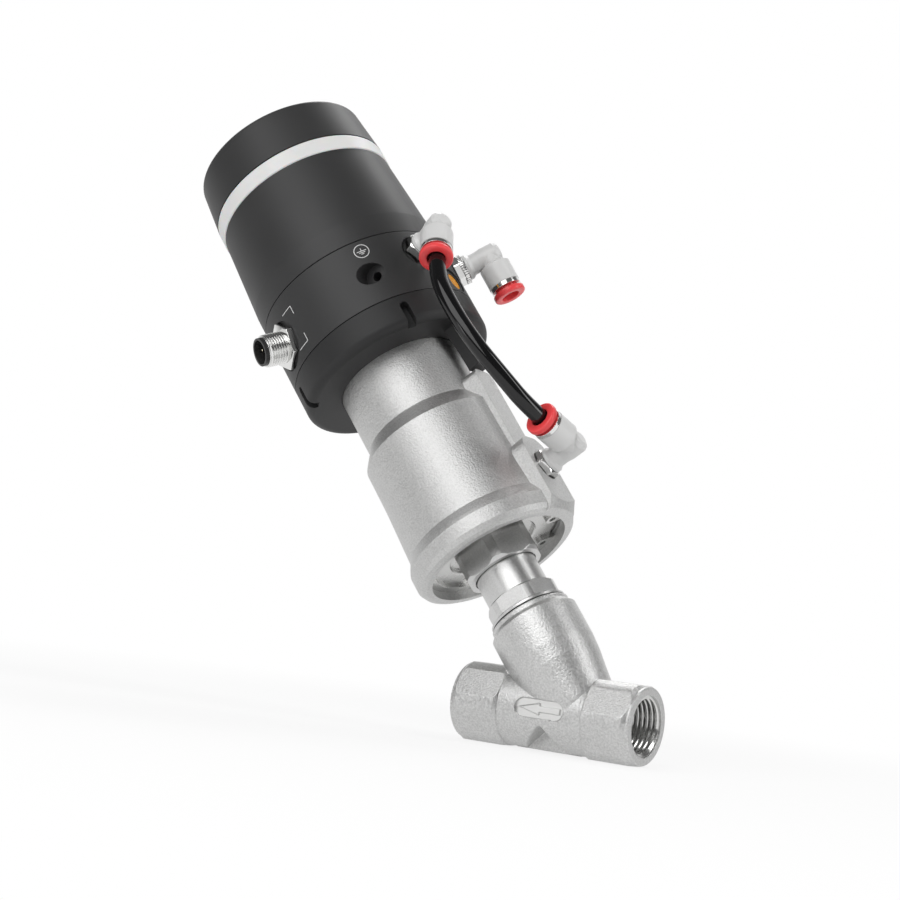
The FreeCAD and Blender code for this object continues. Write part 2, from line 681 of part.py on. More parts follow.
def pad_outline(half_width, face, bottom, top, corner):
    """Flat strip standing off the barrel in the port's direction, its upper corners rounded."""
    strip = block(0, face, -half_width, half_width, bottom, top)
    def is_upper_corner(edge):
        box = edge.BoundBox
        return box.XLength > face - 1 and abs(box.ZMin - top) < 0.01 and box.YLength < 0.01
    return rounded(strip, corner, is_upper_corner)


def port_boss():
    """Square boss round the air port; its lower end is turned in one pass with the rim."""
    top = AIR_PORT_HEIGHT + BOSS_HALF_WIDTH + 3.2
    boss = pad_outline(BOSS_HALF_WIDTH, BOSS_FACE, RIM_BOTTOM, top, BOSS_HALF_WIDTH * 0.75)
    envelope = turned([(0, RIM_BOTTOM), (RIM_R - 0.4, RIM_BOTTOM), (BOSS_TURNED_R, RIM_BOTTOM + 4.6),
                       (BOSS_TURNED_R, top), (0, top)])
    return boss.common(envelope)


def actuator_casing():
    """Cast cylinder: flared rim, barrel, shoulder and the narrower spring housing on top."""
    outline = [(0, RIM_BOTTOM), (RIM_R - 2.6, RIM_BOTTOM), (RIM_R - 1.0, RIM_BOTTOM + 0.8),
               (RIM_R, RIM_BOTTOM + 2.6), (RIM_R, RIM_TOP), (RIM_R - 0.5, RIM_TOP + 1.3),
               (BARREL_BOTTOM_R + 0.5, BARREL_FOOT - 1.0), (BARREL_BOTTOM_R, BARREL_FOOT),
               (BARREL_TOP_R + 0.2, PLATE_SEAT + 0.6 * BARREL_LENGTH),
               (BARREL_TOP_R, SHOULDER_BOTTOM - 0.6),
               (BARREL_TOP_R - 0.6, SHOULDER_BOTTOM + 0.4),
               (NECKED_R + 0.5, SHOULDER_TOP - 0.6), (NECKED_R, SHOULDER_TOP + 0.4),
               (NECKED_R, CASING_TOP), (0, CASING_TOP)]
    strip = pad_outline(PAD_HALF_WIDTH, PAD_FACE, RIM_TOP, PAD_TOP, PAD_HALF_WIDTH * 0.55)
    shell = turned(outline).fuse(turned_about(strip.fuse(port_boss()), ACTUATOR_TURN))
    roof = CASING_TOP - ROOF_THICKNESS
    rod_hole = SENSOR_ROD_R + 2.2
    hollow = turned([(0, RIM_BOTTOM - 1), (RECESS_R, RIM_BOTTOM - 1),
                     (RECESS_R, PLATE_SEAT), (PISTON_BORE_R, PLATE_SEAT),
                     (PISTON_BORE_R, SHOULDER_BOTTOM - 3.4), (SPRING_BORE_R, SHOULDER_BOTTOM + 1.6),
                     (SPRING_BORE_R, roof), (rod_hole, roof), (rod_hole, CASING_TOP + 1),
                     (0, CASING_TOP + 1)])
    groove = washer(RECESS_R + SNAP_GROOVE_DEPTH, RECESS_R - 1, snap_ring_bottom(), plate_bottom())
    cuts = [hollow, groove]
    cuts.append(radial(disc(ELBOW_SPIGOT_R + FIT_GAP, -12, 6), ACTUATOR_TURN, AIR_PORT_HEIGHT,
                       air_port_seat()))
    cuts.append(radial(disc(SPOT_FACE_R, 0, 8), ACTUATOR_TURN, AIR_PORT_HEIGHT, air_port_seat()))
    cuts += [disc_at(SKIRT_SCREW_R + FIT_GAP, x, y, roof - 1, CASING_TOP + 1)
             for x, y in skirt_screw_places()]
    for cut in cuts:
        shell = shell.cut(cut)
    return shell.removeSplitter()


def disc_at(radius, x, y, bottom, top):
    return Part.makeCylinder(radius, top - bottom, V(x, y, bottom))


def skirt_screw_places():
    angles = [math.radians(ACTUATOR_TURN + 30 + 360 / SKIRT_SCREW_COUNT * i)
              for i in range(SKIRT_SCREW_COUNT)]
    return [(SKIRT_SCREW_CIRCLE_R * math.cos(a), SKIRT_SCREW_CIRCLE_R * math.sin(a)) for a in angles]


def air_port_seat():
    return BOSS_FACE - 2.9


def snap_ring_bottom():
    return plate_bottom() - SNAP_RING_THICKNESS


def bottom_plate():
    """Cover plate of the air chamber, held against the casing's step by the snap ring."""
    low = plate_bottom()
    hole = WAIST_R + RUNNING_GAP
    outer = RECESS_R - PLATE_GAP
    plate = turned([(hole, well_face()), (PLATE_WELL_R, well_face()), (PLATE_WELL_R, low + 0.5),
                    (PLATE_WELL_R + 0.5, low), (outer - 0.5, low), (outer, low + 0.5),
                    (outer, PLATE_SEAT), (hole, PLATE_SEAT)])
    seals = washer(RECESS_R, plate_groove_r(), *plate_groove_span())
    seals = seals.fuse(washer(WAIST_R + 1.5, WAIST_R - 1, *neck_groove_span()))
    return plate.cut(seals)


def plate_groove_r():
    return RECESS_R - 2.1


def plate_groove_span():
    middle = plate_bottom() + PLATE_THICKNESS / 2
    return middle - 0.9, middle + 0.9


def neck_groove_span():
    middle = (well_face() + PLATE_SEAT) / 2
    return middle - 0.6, middle + 0.6


def plate_seal():
    low, high = plate_groove_span()
    return washer(RECESS_R - PLATE_GAP, plate_groove_r() + FIT_GAP, low, high)


def neck_seal():
    low, high = neck_groove_span()
    return washer(WAIST_R + 1.5 - FIT_GAP, WAIST_R + FIT_GAP, low, high)


def snap_ring():
    """Flat internal retaining ring with two drilled ears either side of its gap."""
    low = snap_ring_bottom()
    high = plate_bottom()
    ring = washer(RECESS_R + SNAP_GROOVE_DEPTH - 0.1, SNAP_RING_INNER_R, low, high)
    half_gap = math.radians(SNAP_EAR_SPREAD) * SNAP_RING_INNER_R - SNAP_EAR_R
    gap = block(SNAP_RING_INNER_R - 8, RECESS_R + 6, -half_gap, half_gap, low - 1, high + 1)
    ring = ring.cut(turned_about(gap, SNAP_GAP_TURN))
    for side in (-1, 1):
        angle = math.radians(SNAP_GAP_TURN + side * SNAP_EAR_SPREAD)
        x = SNAP_RING_INNER_R * math.cos(angle)
        y = SNAP_RING_INNER_R * math.sin(angle)
        ring = ring.fuse(disc_at(SNAP_EAR_R, x, y, low, high))
        ring = ring.cut(disc_at(SNAP_EAR_HOLE_R, x, y, low - 1, high + 1))
    return ring.removeSplitter()


def skirt_key():
    """Tapered tongue that hangs from the skirt and indexes the head above the casing's strip."""
    def section(half_width, face, height):
        points = [V(KEY_INNER, -half_width, height), V(face, -half_width, height),
                  V(face, half_width, height), V(KEY_INNER, half_width, height)]
        return Part.makePolygon(points + points[:1])
    middle = (KEY_TIP + HEAD_BOTTOM) / 2
    key = Part.makeLoft([section(KEY_TIP_HALF_WIDTH, KEY_TIP_FACE, KEY_TIP),
                         section(KEY_TIP_HALF_WIDTH + 0.9, (KEY_TIP_FACE + KEY_ROOT_FACE) / 2, middle),
                         section(KEY_ROOT_HALF_WIDTH, KEY_ROOT_FACE, HEAD_BOTTOM + KEY_ROOT_RISE)],
                        True, False)
    return key


def head_skirt():
    """Foot of the head: socket for the casing's top, locking slots and the index tongue."""
    skirt = disc(HEAD_R, HEAD_BOTTOM, SKIRT_TOP)
    skirt = rounded(skirt, HEAD_EDGE_FILLET, lambda e: e.BoundBox.ZMax < HEAD_BOTTOM + 0.01)
    skirt = skirt.fuse(turned_about(skirt_key(), ACTUATOR_TURN))
    skirt = skirt.cut(disc(NECKED_R + SKIRT_SEAT_GAP, KEY_TIP - 1, CASING_TOP))
    skirt = skirt.cut(disc(CENTRE_WAY_R, KEY_TIP - 1, SKIRT_TOP + 1))
    for x, y in skirt_screw_places():
        skirt = skirt.cut(disc_at(SKIRT_SCREW_R + FIT_GAP, x, y, CASING_TOP - 1, SKIRT_TOP + 1))
    skirt = skirt.cut(washer(HEAD_R + 1, HEAD_R - SEAM_DEPTH, SKIRT_TOP - SEAM_WIDTH, SKIRT_TOP + 1))
    half = SLOT_WIDTH / 2
    for i in range(SLOT_COUNT):
        slot = block(SLOT_FLOOR_R, HEAD_R + 2, -half, half, HEAD_BOTTOM - 1, SLOT_TOP - half)
        slot = slot.fuse(Part.makeCylinder(half, SLOT_DEPTH + 2,
                                           V(SLOT_FLOOR_R, 0, SLOT_TOP - half), V(1, 0, 0)))
        skirt = skirt.cut(turned_about(slot, ACTUATOR_TURN + SLOT_TURN + 360 / SLOT_COUNT * i))
    return skirt.removeSplitter()


def skirt_screws():
    """Cheese-head screws that hold the skirt down on the casing's roof."""
    screws = []
    for x, y in skirt_screw_places():
        head = disc_at(SKIRT_SCREW_R * 1.75, x, y, SKIRT_TOP, SKIRT_TOP + SKIRT_SCREW_R * 1.3)
        socket = hexagon(3.0, SKIRT_TOP + 0.8, SKIRT_TOP + 4.0)
        socket.translate(V(x, y, 0))
        shank = disc_at(SKIRT_SCREW_R, x, y, CASING_TOP - ROOF_THICKNESS + 0.4, SKIRT_TOP)
        screws.append(head.cut(socket).fuse(shank))
    return Part.makeCompound(screws)


def earth_cutter(radius, low, high):
    """Bore of the earth terminal, square to the casing port and beside the axis."""
    cutter = Part.makeCylinder(radius, high - low, V(0, EARTH_OFFSET, low))
    return radial(cutter, ACTUATOR_TURN - 90, EARTH_HEIGHT, EARTH_POCKET_FLOOR)


def head_base():
    """Port block of the head: air ports, earth pocket, connector and silencer holes."""
    base = disc(HEAD_R, SKIRT_TOP, BASE_TOP)
    cuts = [disc(HEAD_R - BASE_RIM, BASE_TOP - BASE_TRAY_DEPTH, BASE_TOP + 1),
            disc(CENTRE_WAY_R, SKIRT_TOP - 1, BASE_TOP + 1),
            disc(HEAD_WELL_R, SKIRT_TOP - 1, SKIRT_TOP + HEAD_WELL_DEPTH),
            washer(HEAD_R - GASKET_SETBACK, HEAD_R - GASKET_SETBACK - GASKET_WIDTH,
                   BASE_TOP - GASKET_GROOVE, BASE_TOP + 1),
            washer(HEAD_R + 1, HEAD_R - SEAM_DEPTH, BASE_TOP - SEAM_WIDTH, BASE_TOP + 1)]
    for angle, height, seat in ((HEAD_TURN - PORT_SPREAD, HEAD_PORT_HEIGHT, HEAD_PORT_SEAT),
                                (HEAD_TURN + PORT_SPREAD, SUPPLY_HEIGHT, SUPPLY_SEAT)):
        cuts.append(radial(disc(SPOT_FACE_R, 0, 8), angle, height, seat))
        cuts.append(radial(disc(ELBOW_SPIGOT_R + FIT_GAP, -ELBOW_SPIGOT_LENGTH, 1), angle, height,
                           seat))
    cuts.append(earth_cutter(EARTH_POCKET_R, 0, 20))
    cuts.append(earth_cutter(EARTH_THREAD_R, -EARTH_THREAD_DEPTH, 1))
    cuts.append(radial(disc(M12_NECK_R + FIT_GAP, -M12_NECK_LENGTH - 0.5, 8),
                       HEAD_TURN + CONNECTOR_ANGLE, CONNECTOR_HEIGHT, HEAD_R - M12_SINK))
    cuts.append(radial(disc(M12_HEX * 0.58, 0, 8), HEAD_TURN + CONNECTOR_ANGLE, CONNECTOR_HEIGHT,
                       HEAD_R - M12_SINK))
    cuts.append(radial(disc(SILENCER_R + FIT_GAP, -SILENCER_LENGTH, 6), HEAD_TURN,
                       SILENCER_HEIGHT, HEAD_R - SILENCER_SINK))
    cuts.append(radial(disc(SILENCER_R + 1.1, 0, 6), HEAD_TURN, SILENCER_HEIGHT,
                       HEAD_R - SILENCER_SINK))
    for cut in cuts:
        base = base.cut(cut)
    return base.removeSplitter()


def head_cover():
    """Drawn cover of the electronics, straight at its foot and tapering to the light ring."""
    inner = HEAD_R - HEAD_WALL
    return turned([(HEAD_R, BASE_TOP), (HEAD_R, COVER_SHOULDER), (COVER_TOP_R, LIGHT_BOTTOM),
                   (COVER_TOP_R - HEAD_WALL, LIGHT_BOTTOM), (inner, COVER_SHOULDER),
                   (inner, BASE_TOP)])


def light_ring():
    """Translucent ring with a tongue below that sits inside the cover."""
    inner = COVER_TOP_R - HEAD_WALL
    return turned([(LIGHT_R - 0.4, LIGHT_BOTTOM), (LIGHT_R, LIGHT_BOTTOM + 0.4),
                   (LIGHT_R, LIGHT_TOP), (inner - 3, LIGHT_TOP), (inner - 3, LIGHT_BOTTOM - 4),
                   (inner - 0.05, LIGHT_BOTTOM - 4), (inner - 0.05, LIGHT_BOTTOM)])


def top_cap():
    """Closed cap of the head, hollow below, its rim a little inside the light ring."""
    inner = CAP_TOP_R - HEAD_WALL
    cap = turned([(LIGHT_R - 0.7, LIGHT_TOP), (LIGHT_R - 0.7, LIGHT_TOP + 0.5),
                  (LIGHT_R, LIGHT_TOP + 0.5), (CAP_TOP_R, CAP_TOP), (0, CAP_TOP),
                  (0, CAP_TOP - HEAD_WALL), (inner, CAP_TOP - HEAD_WALL), (inner, LIGHT_TOP)])
    return rounded(cap, CAP_FILLET, lambda e: e.BoundBox.ZMin > CAP_TOP - 0.01
                   and e.BoundBox.XLength > CAP_TOP_R)


def base_gasket():
    outer = HEAD_R - GASKET_SETBACK
    return washer(outer - FIT_GAP, outer - GASKET_WIDTH + FIT_GAP, BASE_TOP - GASKET_GROOVE, BASE_TOP)


def circuit_board():
    low = BASE_TOP + BOARD_LIFT
    return washer(HEAD_R - HEAD_WALL - 1.2, CENTRE_WAY_R, low, low + BOARD_THICKNESS)


def board_pillars():
    """Spacers between the base's rim and the circuit board."""
    circle = HEAD_R - BASE_RIM + PILLAR_R + 0.1
    pillars = []
    for i in range(PILLAR_COUNT):
        angle = math.radians(HEAD_TURN + 90 + 360 / PILLAR_COUNT * i)
        pillars.append(disc_at(PILLAR_R, circle * math.cos(angle), circle * math.sin(angle),
                               BASE_TOP, BASE_TOP + BOARD_LIFT))
    return Part.makeCompound(pillars)


def pilot_valve():
    """Pilot valve block that switches the supply air to the actuator."""
    low = BASE_TOP - BASE_TRAY_DEPTH
    high = BASE_TOP + PILOT_RISE
    inner = CENTRE_WAY_R + PILOT_INNER_GAP
    outer = HEAD_R - BASE_RIM - PILOT_OUTER_GAP
    body = block(inner, outer, -PILOT_HALF_WIDTH, PILOT_HALF_WIDTH, low, high)
    coil = disc_at(PILOT_COIL_R, (inner + outer) / 2, 0, high, BASE_TOP + BOARD_LIFT - 0.3)
    return turned_about(body.fuse(coil), HEAD_TURN)


def position_sensor():
    """Sleeve round the rod's target that reads the stem's height."""
    return washer(CENTRE_WAY_R - FIT_GAP, TARGET_R + SENSOR_GAP, SKIRT_TOP + HEAD_WELL_DEPTH + 1,
                  BASE_TOP + BOARD_LIFT + BOARD_THICKNESS)


def along_arm(shape):
    """Lays a piece made along Z onto the tube's axis of an elbow."""
    laid = along_x(shape)
    laid.translate(V(0, 0, ELBOW_ARM_HEIGHT))
    return laid


def elbow_seal():
    return washer(SPOT_FACE_R - 1.0, ELBOW_SPIGOT_R + FIT_GAP, -ELBOW_SEAL_THICKNESS, 0)


def elbow_stem():
    """Male stem: threaded spigot, hexagon and the journal that the elbow turns on."""
    spigot = disc(ELBOW_SPIGOT_R, -ELBOW_SPIGOT_LENGTH, 0)
    crown = hexagon(ELBOW_HEX, 0, ELBOW_HEX_HEIGHT, 30)
    crown = crown.common(turned([(0, 0), (ELBOW_HEX * 0.56, 0), (ELBOW_HEX * 0.56, 3.6),
                                 (ELBOW_HEX * 0.5, ELBOW_HEX_HEIGHT), (0, ELBOW_HEX_HEIGHT)]))
    journal = disc(ELBOW_JOURNAL_R, ELBOW_HEX_HEIGHT, ELBOW_HEX_HEIGHT + ELBOW_JOURNAL_LENGTH)
    stem_piece = spigot.fuse([crown, journal])
    return stem_piece.cut(disc(STEM_WAY_R, -ELBOW_SPIGOT_LENGTH - 1, ELBOW_ARM_HEIGHT))


def elbow_body():
    """Moulded elbow: collar and neck on the stem, rounded knee, arm with its tube socket."""
    collar_low = ELBOW_HEX_HEIGHT + ELBOW_LIFT
    neck_low = collar_low + 2 * ELBOW_COLLAR_HEIGHT
    top = ELBOW_ARM_HEIGHT + ELBOW_KNEE_END
    upright = turned([(0, collar_low), (ELBOW_COLLAR_R, collar_low),
                      (ELBOW_COLLAR_R, collar_low + ELBOW_COLLAR_HEIGHT), (ELBOW_NECK_R, neck_low),
                      (ELBOW_NECK_R, neck_low + ELBOW_NECK_LENGTH),
                      (ELBOW_KNEE_R, ELBOW_ARM_HEIGHT - ELBOW_KNEE_ROUND),
                      (ELBOW_KNEE_R, top - ELBOW_KNEE_ROUND),
                      (ELBOW_KNEE_R - 0.35 * ELBOW_KNEE_ROUND, top - 0.3 * ELBOW_KNEE_ROUND),
                      (ELBOW_KNEE_R - ELBOW_KNEE_ROUND, top), (0, top)])
    arm_end = ELBOW_REACH - RING_FLANGE - RING_TRAVEL - SLEEVE_LENGTH - 0.1
    arm = turned([(0, 0), (ELBOW_KNEE_R, 0), (ELBOW_KNEE_R, ELBOW_ARM_START),
                  (ELBOW_R, ELBOW_ARM_START + ELBOW_ARM_SWELL), (ELBOW_R, arm_end), (0, arm_end)])
    body = upright.fuse(along_arm(arm)).fuse(Part.makeSphere(ELBOW_KNEE_R,
                                                             V(0, 0, ELBOW_ARM_HEIGHT)))
    socket = disc(TUBE_R + 0.05, SOCKET_STOP, arm_end + 1)
    throat = disc(RING_TUBE_R + RING_GUIDE_GAP, ring_tail() - RING_TRAVEL - 0.3, arm_end + 1)
    way = disc(ELBOW_WAY_R, 0, SOCKET_STOP + 1)
    journal_way = disc(ELBOW_JOURNAL_R + ELBOW_JOURNAL_GAP, collar_low - 1,
                       ELBOW_HEX_HEIGHT + ELBOW_JOURNAL_LENGTH + 0.2)
    riser = disc(ELBOW_WAY_R - 0.1, ELBOW_HEX_HEIGHT, ELBOW_ARM_HEIGHT)
    return body.cut(along_arm(socket.fuse([throat, way]))).cut(journal_way.fuse(riser))


def ring_tail():
    return ELBOW_REACH - RING_LENGTH


def elbow_sleeve():
    """Bright sleeve that closes the arm and guides the release ring."""
    arm_end = ELBOW_REACH - RING_FLANGE - RING_TRAVEL - SLEEVE_LENGTH - 0.1
    return along_arm(washer(SLEEVE_R, RING_TUBE_R + RING_GUIDE_GAP, arm_end,
                            arm_end + SLEEVE_LENGTH))


def release_ring():
    """Red ring that frees the tube when it is pushed in."""
    back = ELBOW_REACH - RING_FLANGE
    ring = turned([(RING_BORE_R, ring_tail()), (RING_TUBE_R, ring_tail()), (RING_TUBE_R, back),
                   (RING_R - 0.3, back), (RING_R, back + 0.3), (RING_R, ELBOW_REACH - 0.6),
                   (RING_R - 0.6, ELBOW_REACH), (RING_BORE_R + 0.9, ELBOW_REACH),
                   (RING_BORE_R, ELBOW_REACH - 1.2)])
    return along_arm(ring)


def exhaust_silencer():
    """Sintered plug with a rounded face, pressed into the head."""
    plug = disc(SILENCER_R, -SILENCER_LENGTH, 0.7)
    plug = rounded(plug, 0.6, lambda e: e.BoundBox.ZMin > 0.69)
    return radial(plug, HEAD_TURN, SILENCER_HEIGHT, HEAD_R - SILENCER_SINK)


def on_connector(shape):
    return radial(shape, HEAD_TURN + CONNECTOR_ANGLE, CONNECTOR_HEIGHT, HEAD_R - M12_SINK)


def connector_shell():
    """Flange hexagon and threaded shell of the plug connector."""
    neck = disc(M12_NECK_R, -M12_NECK_LENGTH, 0.0)
    crown = hexagon(M12_HEX, 0, M12_HEX_HEIGHT, 12)
    crown = crown.common(turned([(0, 0), (M12_HEX * 0.565, 0), (M12_HEX * 0.565, 1.9),
                                 (M12_HEX * 0.5, M12_HEX_HEIGHT), (0, M12_HEX_HEIGHT)]))
    tube = disc(M12_R, M12_HEX_HEIGHT, M12_LENGTH)
    shell = neck.fuse([crown, tube])
    return on_connector(shell.cut(disc(M12_INSERT_R + FIT_GAP, -M12_NECK_LENGTH - 1, M12_LENGTH + 1)))


def connector_insert():
    """Plastic carrier in the shell, with a keyed mouth round the pins."""
    top = M12_LENGTH + M12_INSERT_PROUD
    mouth = M12_INSERT_R - 0.8
    cup = disc(M12_INSERT_R, -M12_NECK_LENGTH, top).cut(disc(mouth, M12_INSERT_FLOOR, top + 1))
    cup = cup.fuse(block(mouth - 0.7, mouth + 0.2, -0.6, 0.6, M12_INSERT_FLOOR, top - 0.6))
    for x, y in pin_places():
        cup = cup.cut(disc_at(M12_PIN_R + FIT_GAP, x, y, -M12_NECK_LENGTH - 1, top))
    return on_connector(cup)


def pin_places():
    angles = [math.radians(45 + 360 / M12_PIN_COUNT * i) for i in range(M12_PIN_COUNT)]
    return [(M12_PIN_CIRCLE_R * math.cos(a), M12_PIN_CIRCLE_R * math.sin(a)) for a in angles]


def connector_pins():
    top = M12_LENGTH - 0.6
    pins = []
    for x, y in pin_places():
        pin = disc_at(M12_PIN_R, x, y, -M12_NECK_LENGTH, top)
        pins.append(rounded(pin, 0.3, lambda e: e.BoundBox.ZMin > top - 0.01))
    return on_connector(Part.makeCompound(pins))


ELBOWS = {
    "head_port": (HEAD_TURN - PORT_SPREAD, HEAD_PORT_HEIGHT, HEAD_PORT_SEAT, TURN_HEAD_PORT),
    "supply": (HEAD_TURN + PORT_SPREAD, SUPPLY_HEIGHT, SUPPLY_SEAT, TURN_SUPPLY),
    "air_port": (ACTUATOR_TURN, AIR_PORT_HEIGHT, air_port_seat(), TURN_AIR_PORT),
}


def on_elbow(shape, place, turns_with_arm=True):
    """Sets an elbow's piece on its port; pieces of the arm are first turned about the stem."""
    angle, height, seat, arm_turn = ELBOWS[place]
    piece = turned_about(shape, arm_turn) if turns_with_arm else shape
    return leaned(radial(piece, angle, height, seat + ELBOW_SEAL_THICKNESS))


def arm_point(place, distance):
    """Point on a socket's axis, that far from the elbow's stem, in the row's frame."""
    return on_elbow(Part.Vertex(distance, 0, ELBOW_ARM_HEIGHT), place).Point


def air_tube_route():
    return ([arm_point("head_port", SOCKET_STOP), arm_point("head_port", TUBE_LEAVES_HEAD)]
            + [V(*bend) for bend in TUBE_BENDS]
            + [arm_point("air_port", TUBE_LEAVES_CASING), arm_point("air_port", SOCKET_STOP)])


def air_tube():
    """Plastic tube from the head to the casing: straight runs joined by tangent arcs."""
    route = air_tube_route()
    edges = []
    start = route[0]
    for before, corner, after in zip(route, route[1:], route[2:]):
        back = (before - corner).normalize()
        ahead = (after - corner).normalize()
        tangent = 0.45 * min(before.distanceToPoint(corner), after.distanceToPoint(corner))
        half_turn = (math.pi - back.getAngle(ahead)) / 2
        radius = tangent / math.tan(half_turn)
        print("tube radius %.1f mm" % radius)
        first = corner + back * tangent
        last = corner + ahead * tangent
        bisector = (back + ahead).normalize()
        middle = corner + bisector * (radius / math.cos(half_turn) - radius)
        edges += [Part.LineSegment(start, first).toShape(), Part.Arc(first, middle, last).toShape()]
        start = last
    edges.append(Part.LineSegment(start, route[-1]).toShape())
    path = Part.Wire(edges)
    section = Part.Wire(Part.makeCircle(TUBE_R, route[0], route[1] - route[0]))
    tube = path.makePipeShell([section], True, False)
    expected = math.pi * TUBE_R ** 2 * path.Length
    print("tube length %.1f mm, volume %.4f of section times length"
          % (path.Length, tube.Volume / expected))
    return tube


PARTS_ON_AXIS = {
    "bonnet": bonnet, "bonnet_gasket": bonnet_gasket, "union_nut": union_nut,
    "gland_nut": gland_nut, "stem_bush": stem_bush, "packing_rings": packing_rings,
    "stem_wiper": stem_wiper, "stem": stem, "valve_plug": valve_plug, "seat_seal": seat_seal,
    "plug_nut": plug_nut, "piston": piston, "piston_seal": piston_seal,
    "piston_nut": piston_nut, "sensor_rod": sensor_rod, "actuator_spring": actuator_spring,
    "actuator_casing": actuator_casing, "bottom_plate": bottom_plate, "plate_seal": plate_seal,
    "neck_seal": neck_seal, "snap_ring": snap_ring, "head_skirt": head_skirt,
    "skirt_screws": skirt_screws, "head_base": head_base, "head_cover": head_cover,
    "light_ring": light_ring, "top_cap": top_cap, "base_gasket": base_gasket,
    "circuit_board": circuit_board, "board_pillars": board_pillars, "pilot_valve": pilot_valve,
    "position_sensor": position_sensor, "exhaust_silencer": exhaust_silencer,
    "connector_shell": connector_shell, "connector_insert": connector_insert,
    "connector_pins": connector_pins,
}
PARTS_OF_ARM = {"elbow": elbow_body, "sleeve": elbow_sleeve, "ring": release_ring}
PARTS_OF_STEM = {"stem": elbow_stem, "seal": elbow_seal}


def main():
    export(in_row(valve_body()), "valve_body")
    for name, make in PARTS_ON_AXIS.items():
        export(leaned(make()), name)
    for place in ELBOWS:
        for name, make in PARTS_OF_STEM.items():
            export(on_elbow(make(), place, turns_with_arm=False), place + "_" + name)
        for name, make in PARTS_OF_ARM.items():
            export(on_elbow(make(), place), place + "_" + name)
    export(air_tube(), "air_tube")


main()
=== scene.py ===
"""Looks of the pneumatic control valve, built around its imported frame.

Sizes of pieces are in millimetres in the frame of the piece that they belong to, and those of
finishes and of the studio are in metres. Every finished mesh is in metres in the model's frame,
with its origin in the middle of the inlet's face, X out of the inlet and Z up.
"""

import json
import logging
import math
from dataclasses import dataclass
from enum import Enum
from typing import Callable, Iterable, Sequence

import bmesh
import bpy
from mathutils import Matrix, Vector


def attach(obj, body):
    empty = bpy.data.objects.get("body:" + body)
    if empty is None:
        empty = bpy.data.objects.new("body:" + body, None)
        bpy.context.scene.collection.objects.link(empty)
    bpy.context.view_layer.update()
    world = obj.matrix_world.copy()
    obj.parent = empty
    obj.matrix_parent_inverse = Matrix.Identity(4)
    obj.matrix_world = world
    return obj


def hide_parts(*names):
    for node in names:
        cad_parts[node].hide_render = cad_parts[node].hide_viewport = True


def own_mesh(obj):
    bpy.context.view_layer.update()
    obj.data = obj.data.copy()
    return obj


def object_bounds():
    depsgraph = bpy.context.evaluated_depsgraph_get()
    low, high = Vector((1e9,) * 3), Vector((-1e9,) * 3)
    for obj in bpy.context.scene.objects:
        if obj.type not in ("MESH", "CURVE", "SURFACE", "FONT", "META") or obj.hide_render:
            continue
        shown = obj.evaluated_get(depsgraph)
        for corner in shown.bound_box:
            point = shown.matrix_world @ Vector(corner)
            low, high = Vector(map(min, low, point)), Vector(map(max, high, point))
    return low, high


LOG = logging.getLogger("control_valve")
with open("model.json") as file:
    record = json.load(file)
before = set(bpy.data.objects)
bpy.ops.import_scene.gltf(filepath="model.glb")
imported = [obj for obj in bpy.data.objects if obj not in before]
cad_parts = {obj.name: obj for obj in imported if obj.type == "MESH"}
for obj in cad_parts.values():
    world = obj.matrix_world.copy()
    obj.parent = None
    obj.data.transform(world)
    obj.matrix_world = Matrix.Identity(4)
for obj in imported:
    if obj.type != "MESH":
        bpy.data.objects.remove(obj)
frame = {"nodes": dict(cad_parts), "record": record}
CAD_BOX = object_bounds()
MM = 0.001

Pair = tuple[float, float]
Triple = tuple[float, float, float]
Socket = bpy.types.NodeSocket
Heights = list[tuple[Socket, float, float]]
Geometry = list[bmesh.types.BMVert | bmesh.types.BMEdge | bmesh.types.BMFace]

# Sizes of the part that the pieces below share, in millimetres and degrees.
LEAN = 40.0
INLET_REACH = 23.5
OUTLET_REACH = 46.5
ACTUATOR_TURN = 3.0
HEAD_TURN = 5.5
PORT_SPREAD = 22.5
HEAD_R = 36.5

# Most values of a noise texture lie between these two.
NOISE_SPAN: Pair = (0.3, 0.7)
# Sockets of a Mix node that mixes colours.
MIX_A, MIX_B, MIX_RESULT = 6, 7, 2
# Vertices closer than the first are one; closer than the second to a cut, they are on it.
MERGE_REACH = 1e-4
CUT_REACH = 1e-5
BEVEL_STEPS = 2
# Edges turned by more than this many degrees stay sharp.
SHARP = 35.0


class Body(Enum):
    """The rigid groups that new pieces ride on."""

    VALVE = "valve"
    ACTUATOR = "actuator"
    HEAD_RING = "head_ring"
    CASING_RING = "casing_ring"
    SUPPLY_RING = "supply_ring"


class Slot(Enum):
    """The record's material slots that new pieces belong to."""

    CAST = "cast_steel"
    TURNED = "turned_steel"
    SPRING = "spring_steel"
    PLATED = "plated_brass"
    INNER = "inner_plastic"
    TUBE = "tube_black"
    RING = "ring_red"


def turned(degrees: float, axis: str) -> Matrix:
    """Rotation about one axis."""
    return Matrix.Rotation(math.radians(degrees), 4, axis)


def actuator_frame() -> Matrix:
    """Matrix from the leaning actuator's frame to the model's frame, both in millimetres."""
    lean = math.radians(LEAN)
    across = Vector((math.cos(lean), 0, math.sin(lean)))
    upwards = Vector((-math.sin(lean), 0, math.cos(lean)))
    matrix = Matrix((across, Vector((0, 1, 0)), upwards)).transposed().to_4x4()
    matrix.translation = Vector((-INLET_REACH, 0, 0))
    return matrix


def radial_frame(angle: float, height: float, distance: float) -> Matrix:
    """Frame whose Z points away from the actuator's axis and whose X points down it.

    Args:
        angle: direction about the actuator's axis, in degrees.
        height: height along the actuator's axis.
        distance: distance from that axis.

    Returns:
        The matrix to the model's frame, in millimetres.
    """
    return (actuator_frame() @ turned(angle, "Z") @ Matrix.Translation((distance, 0, height))
            @ turned(90, "Y"))


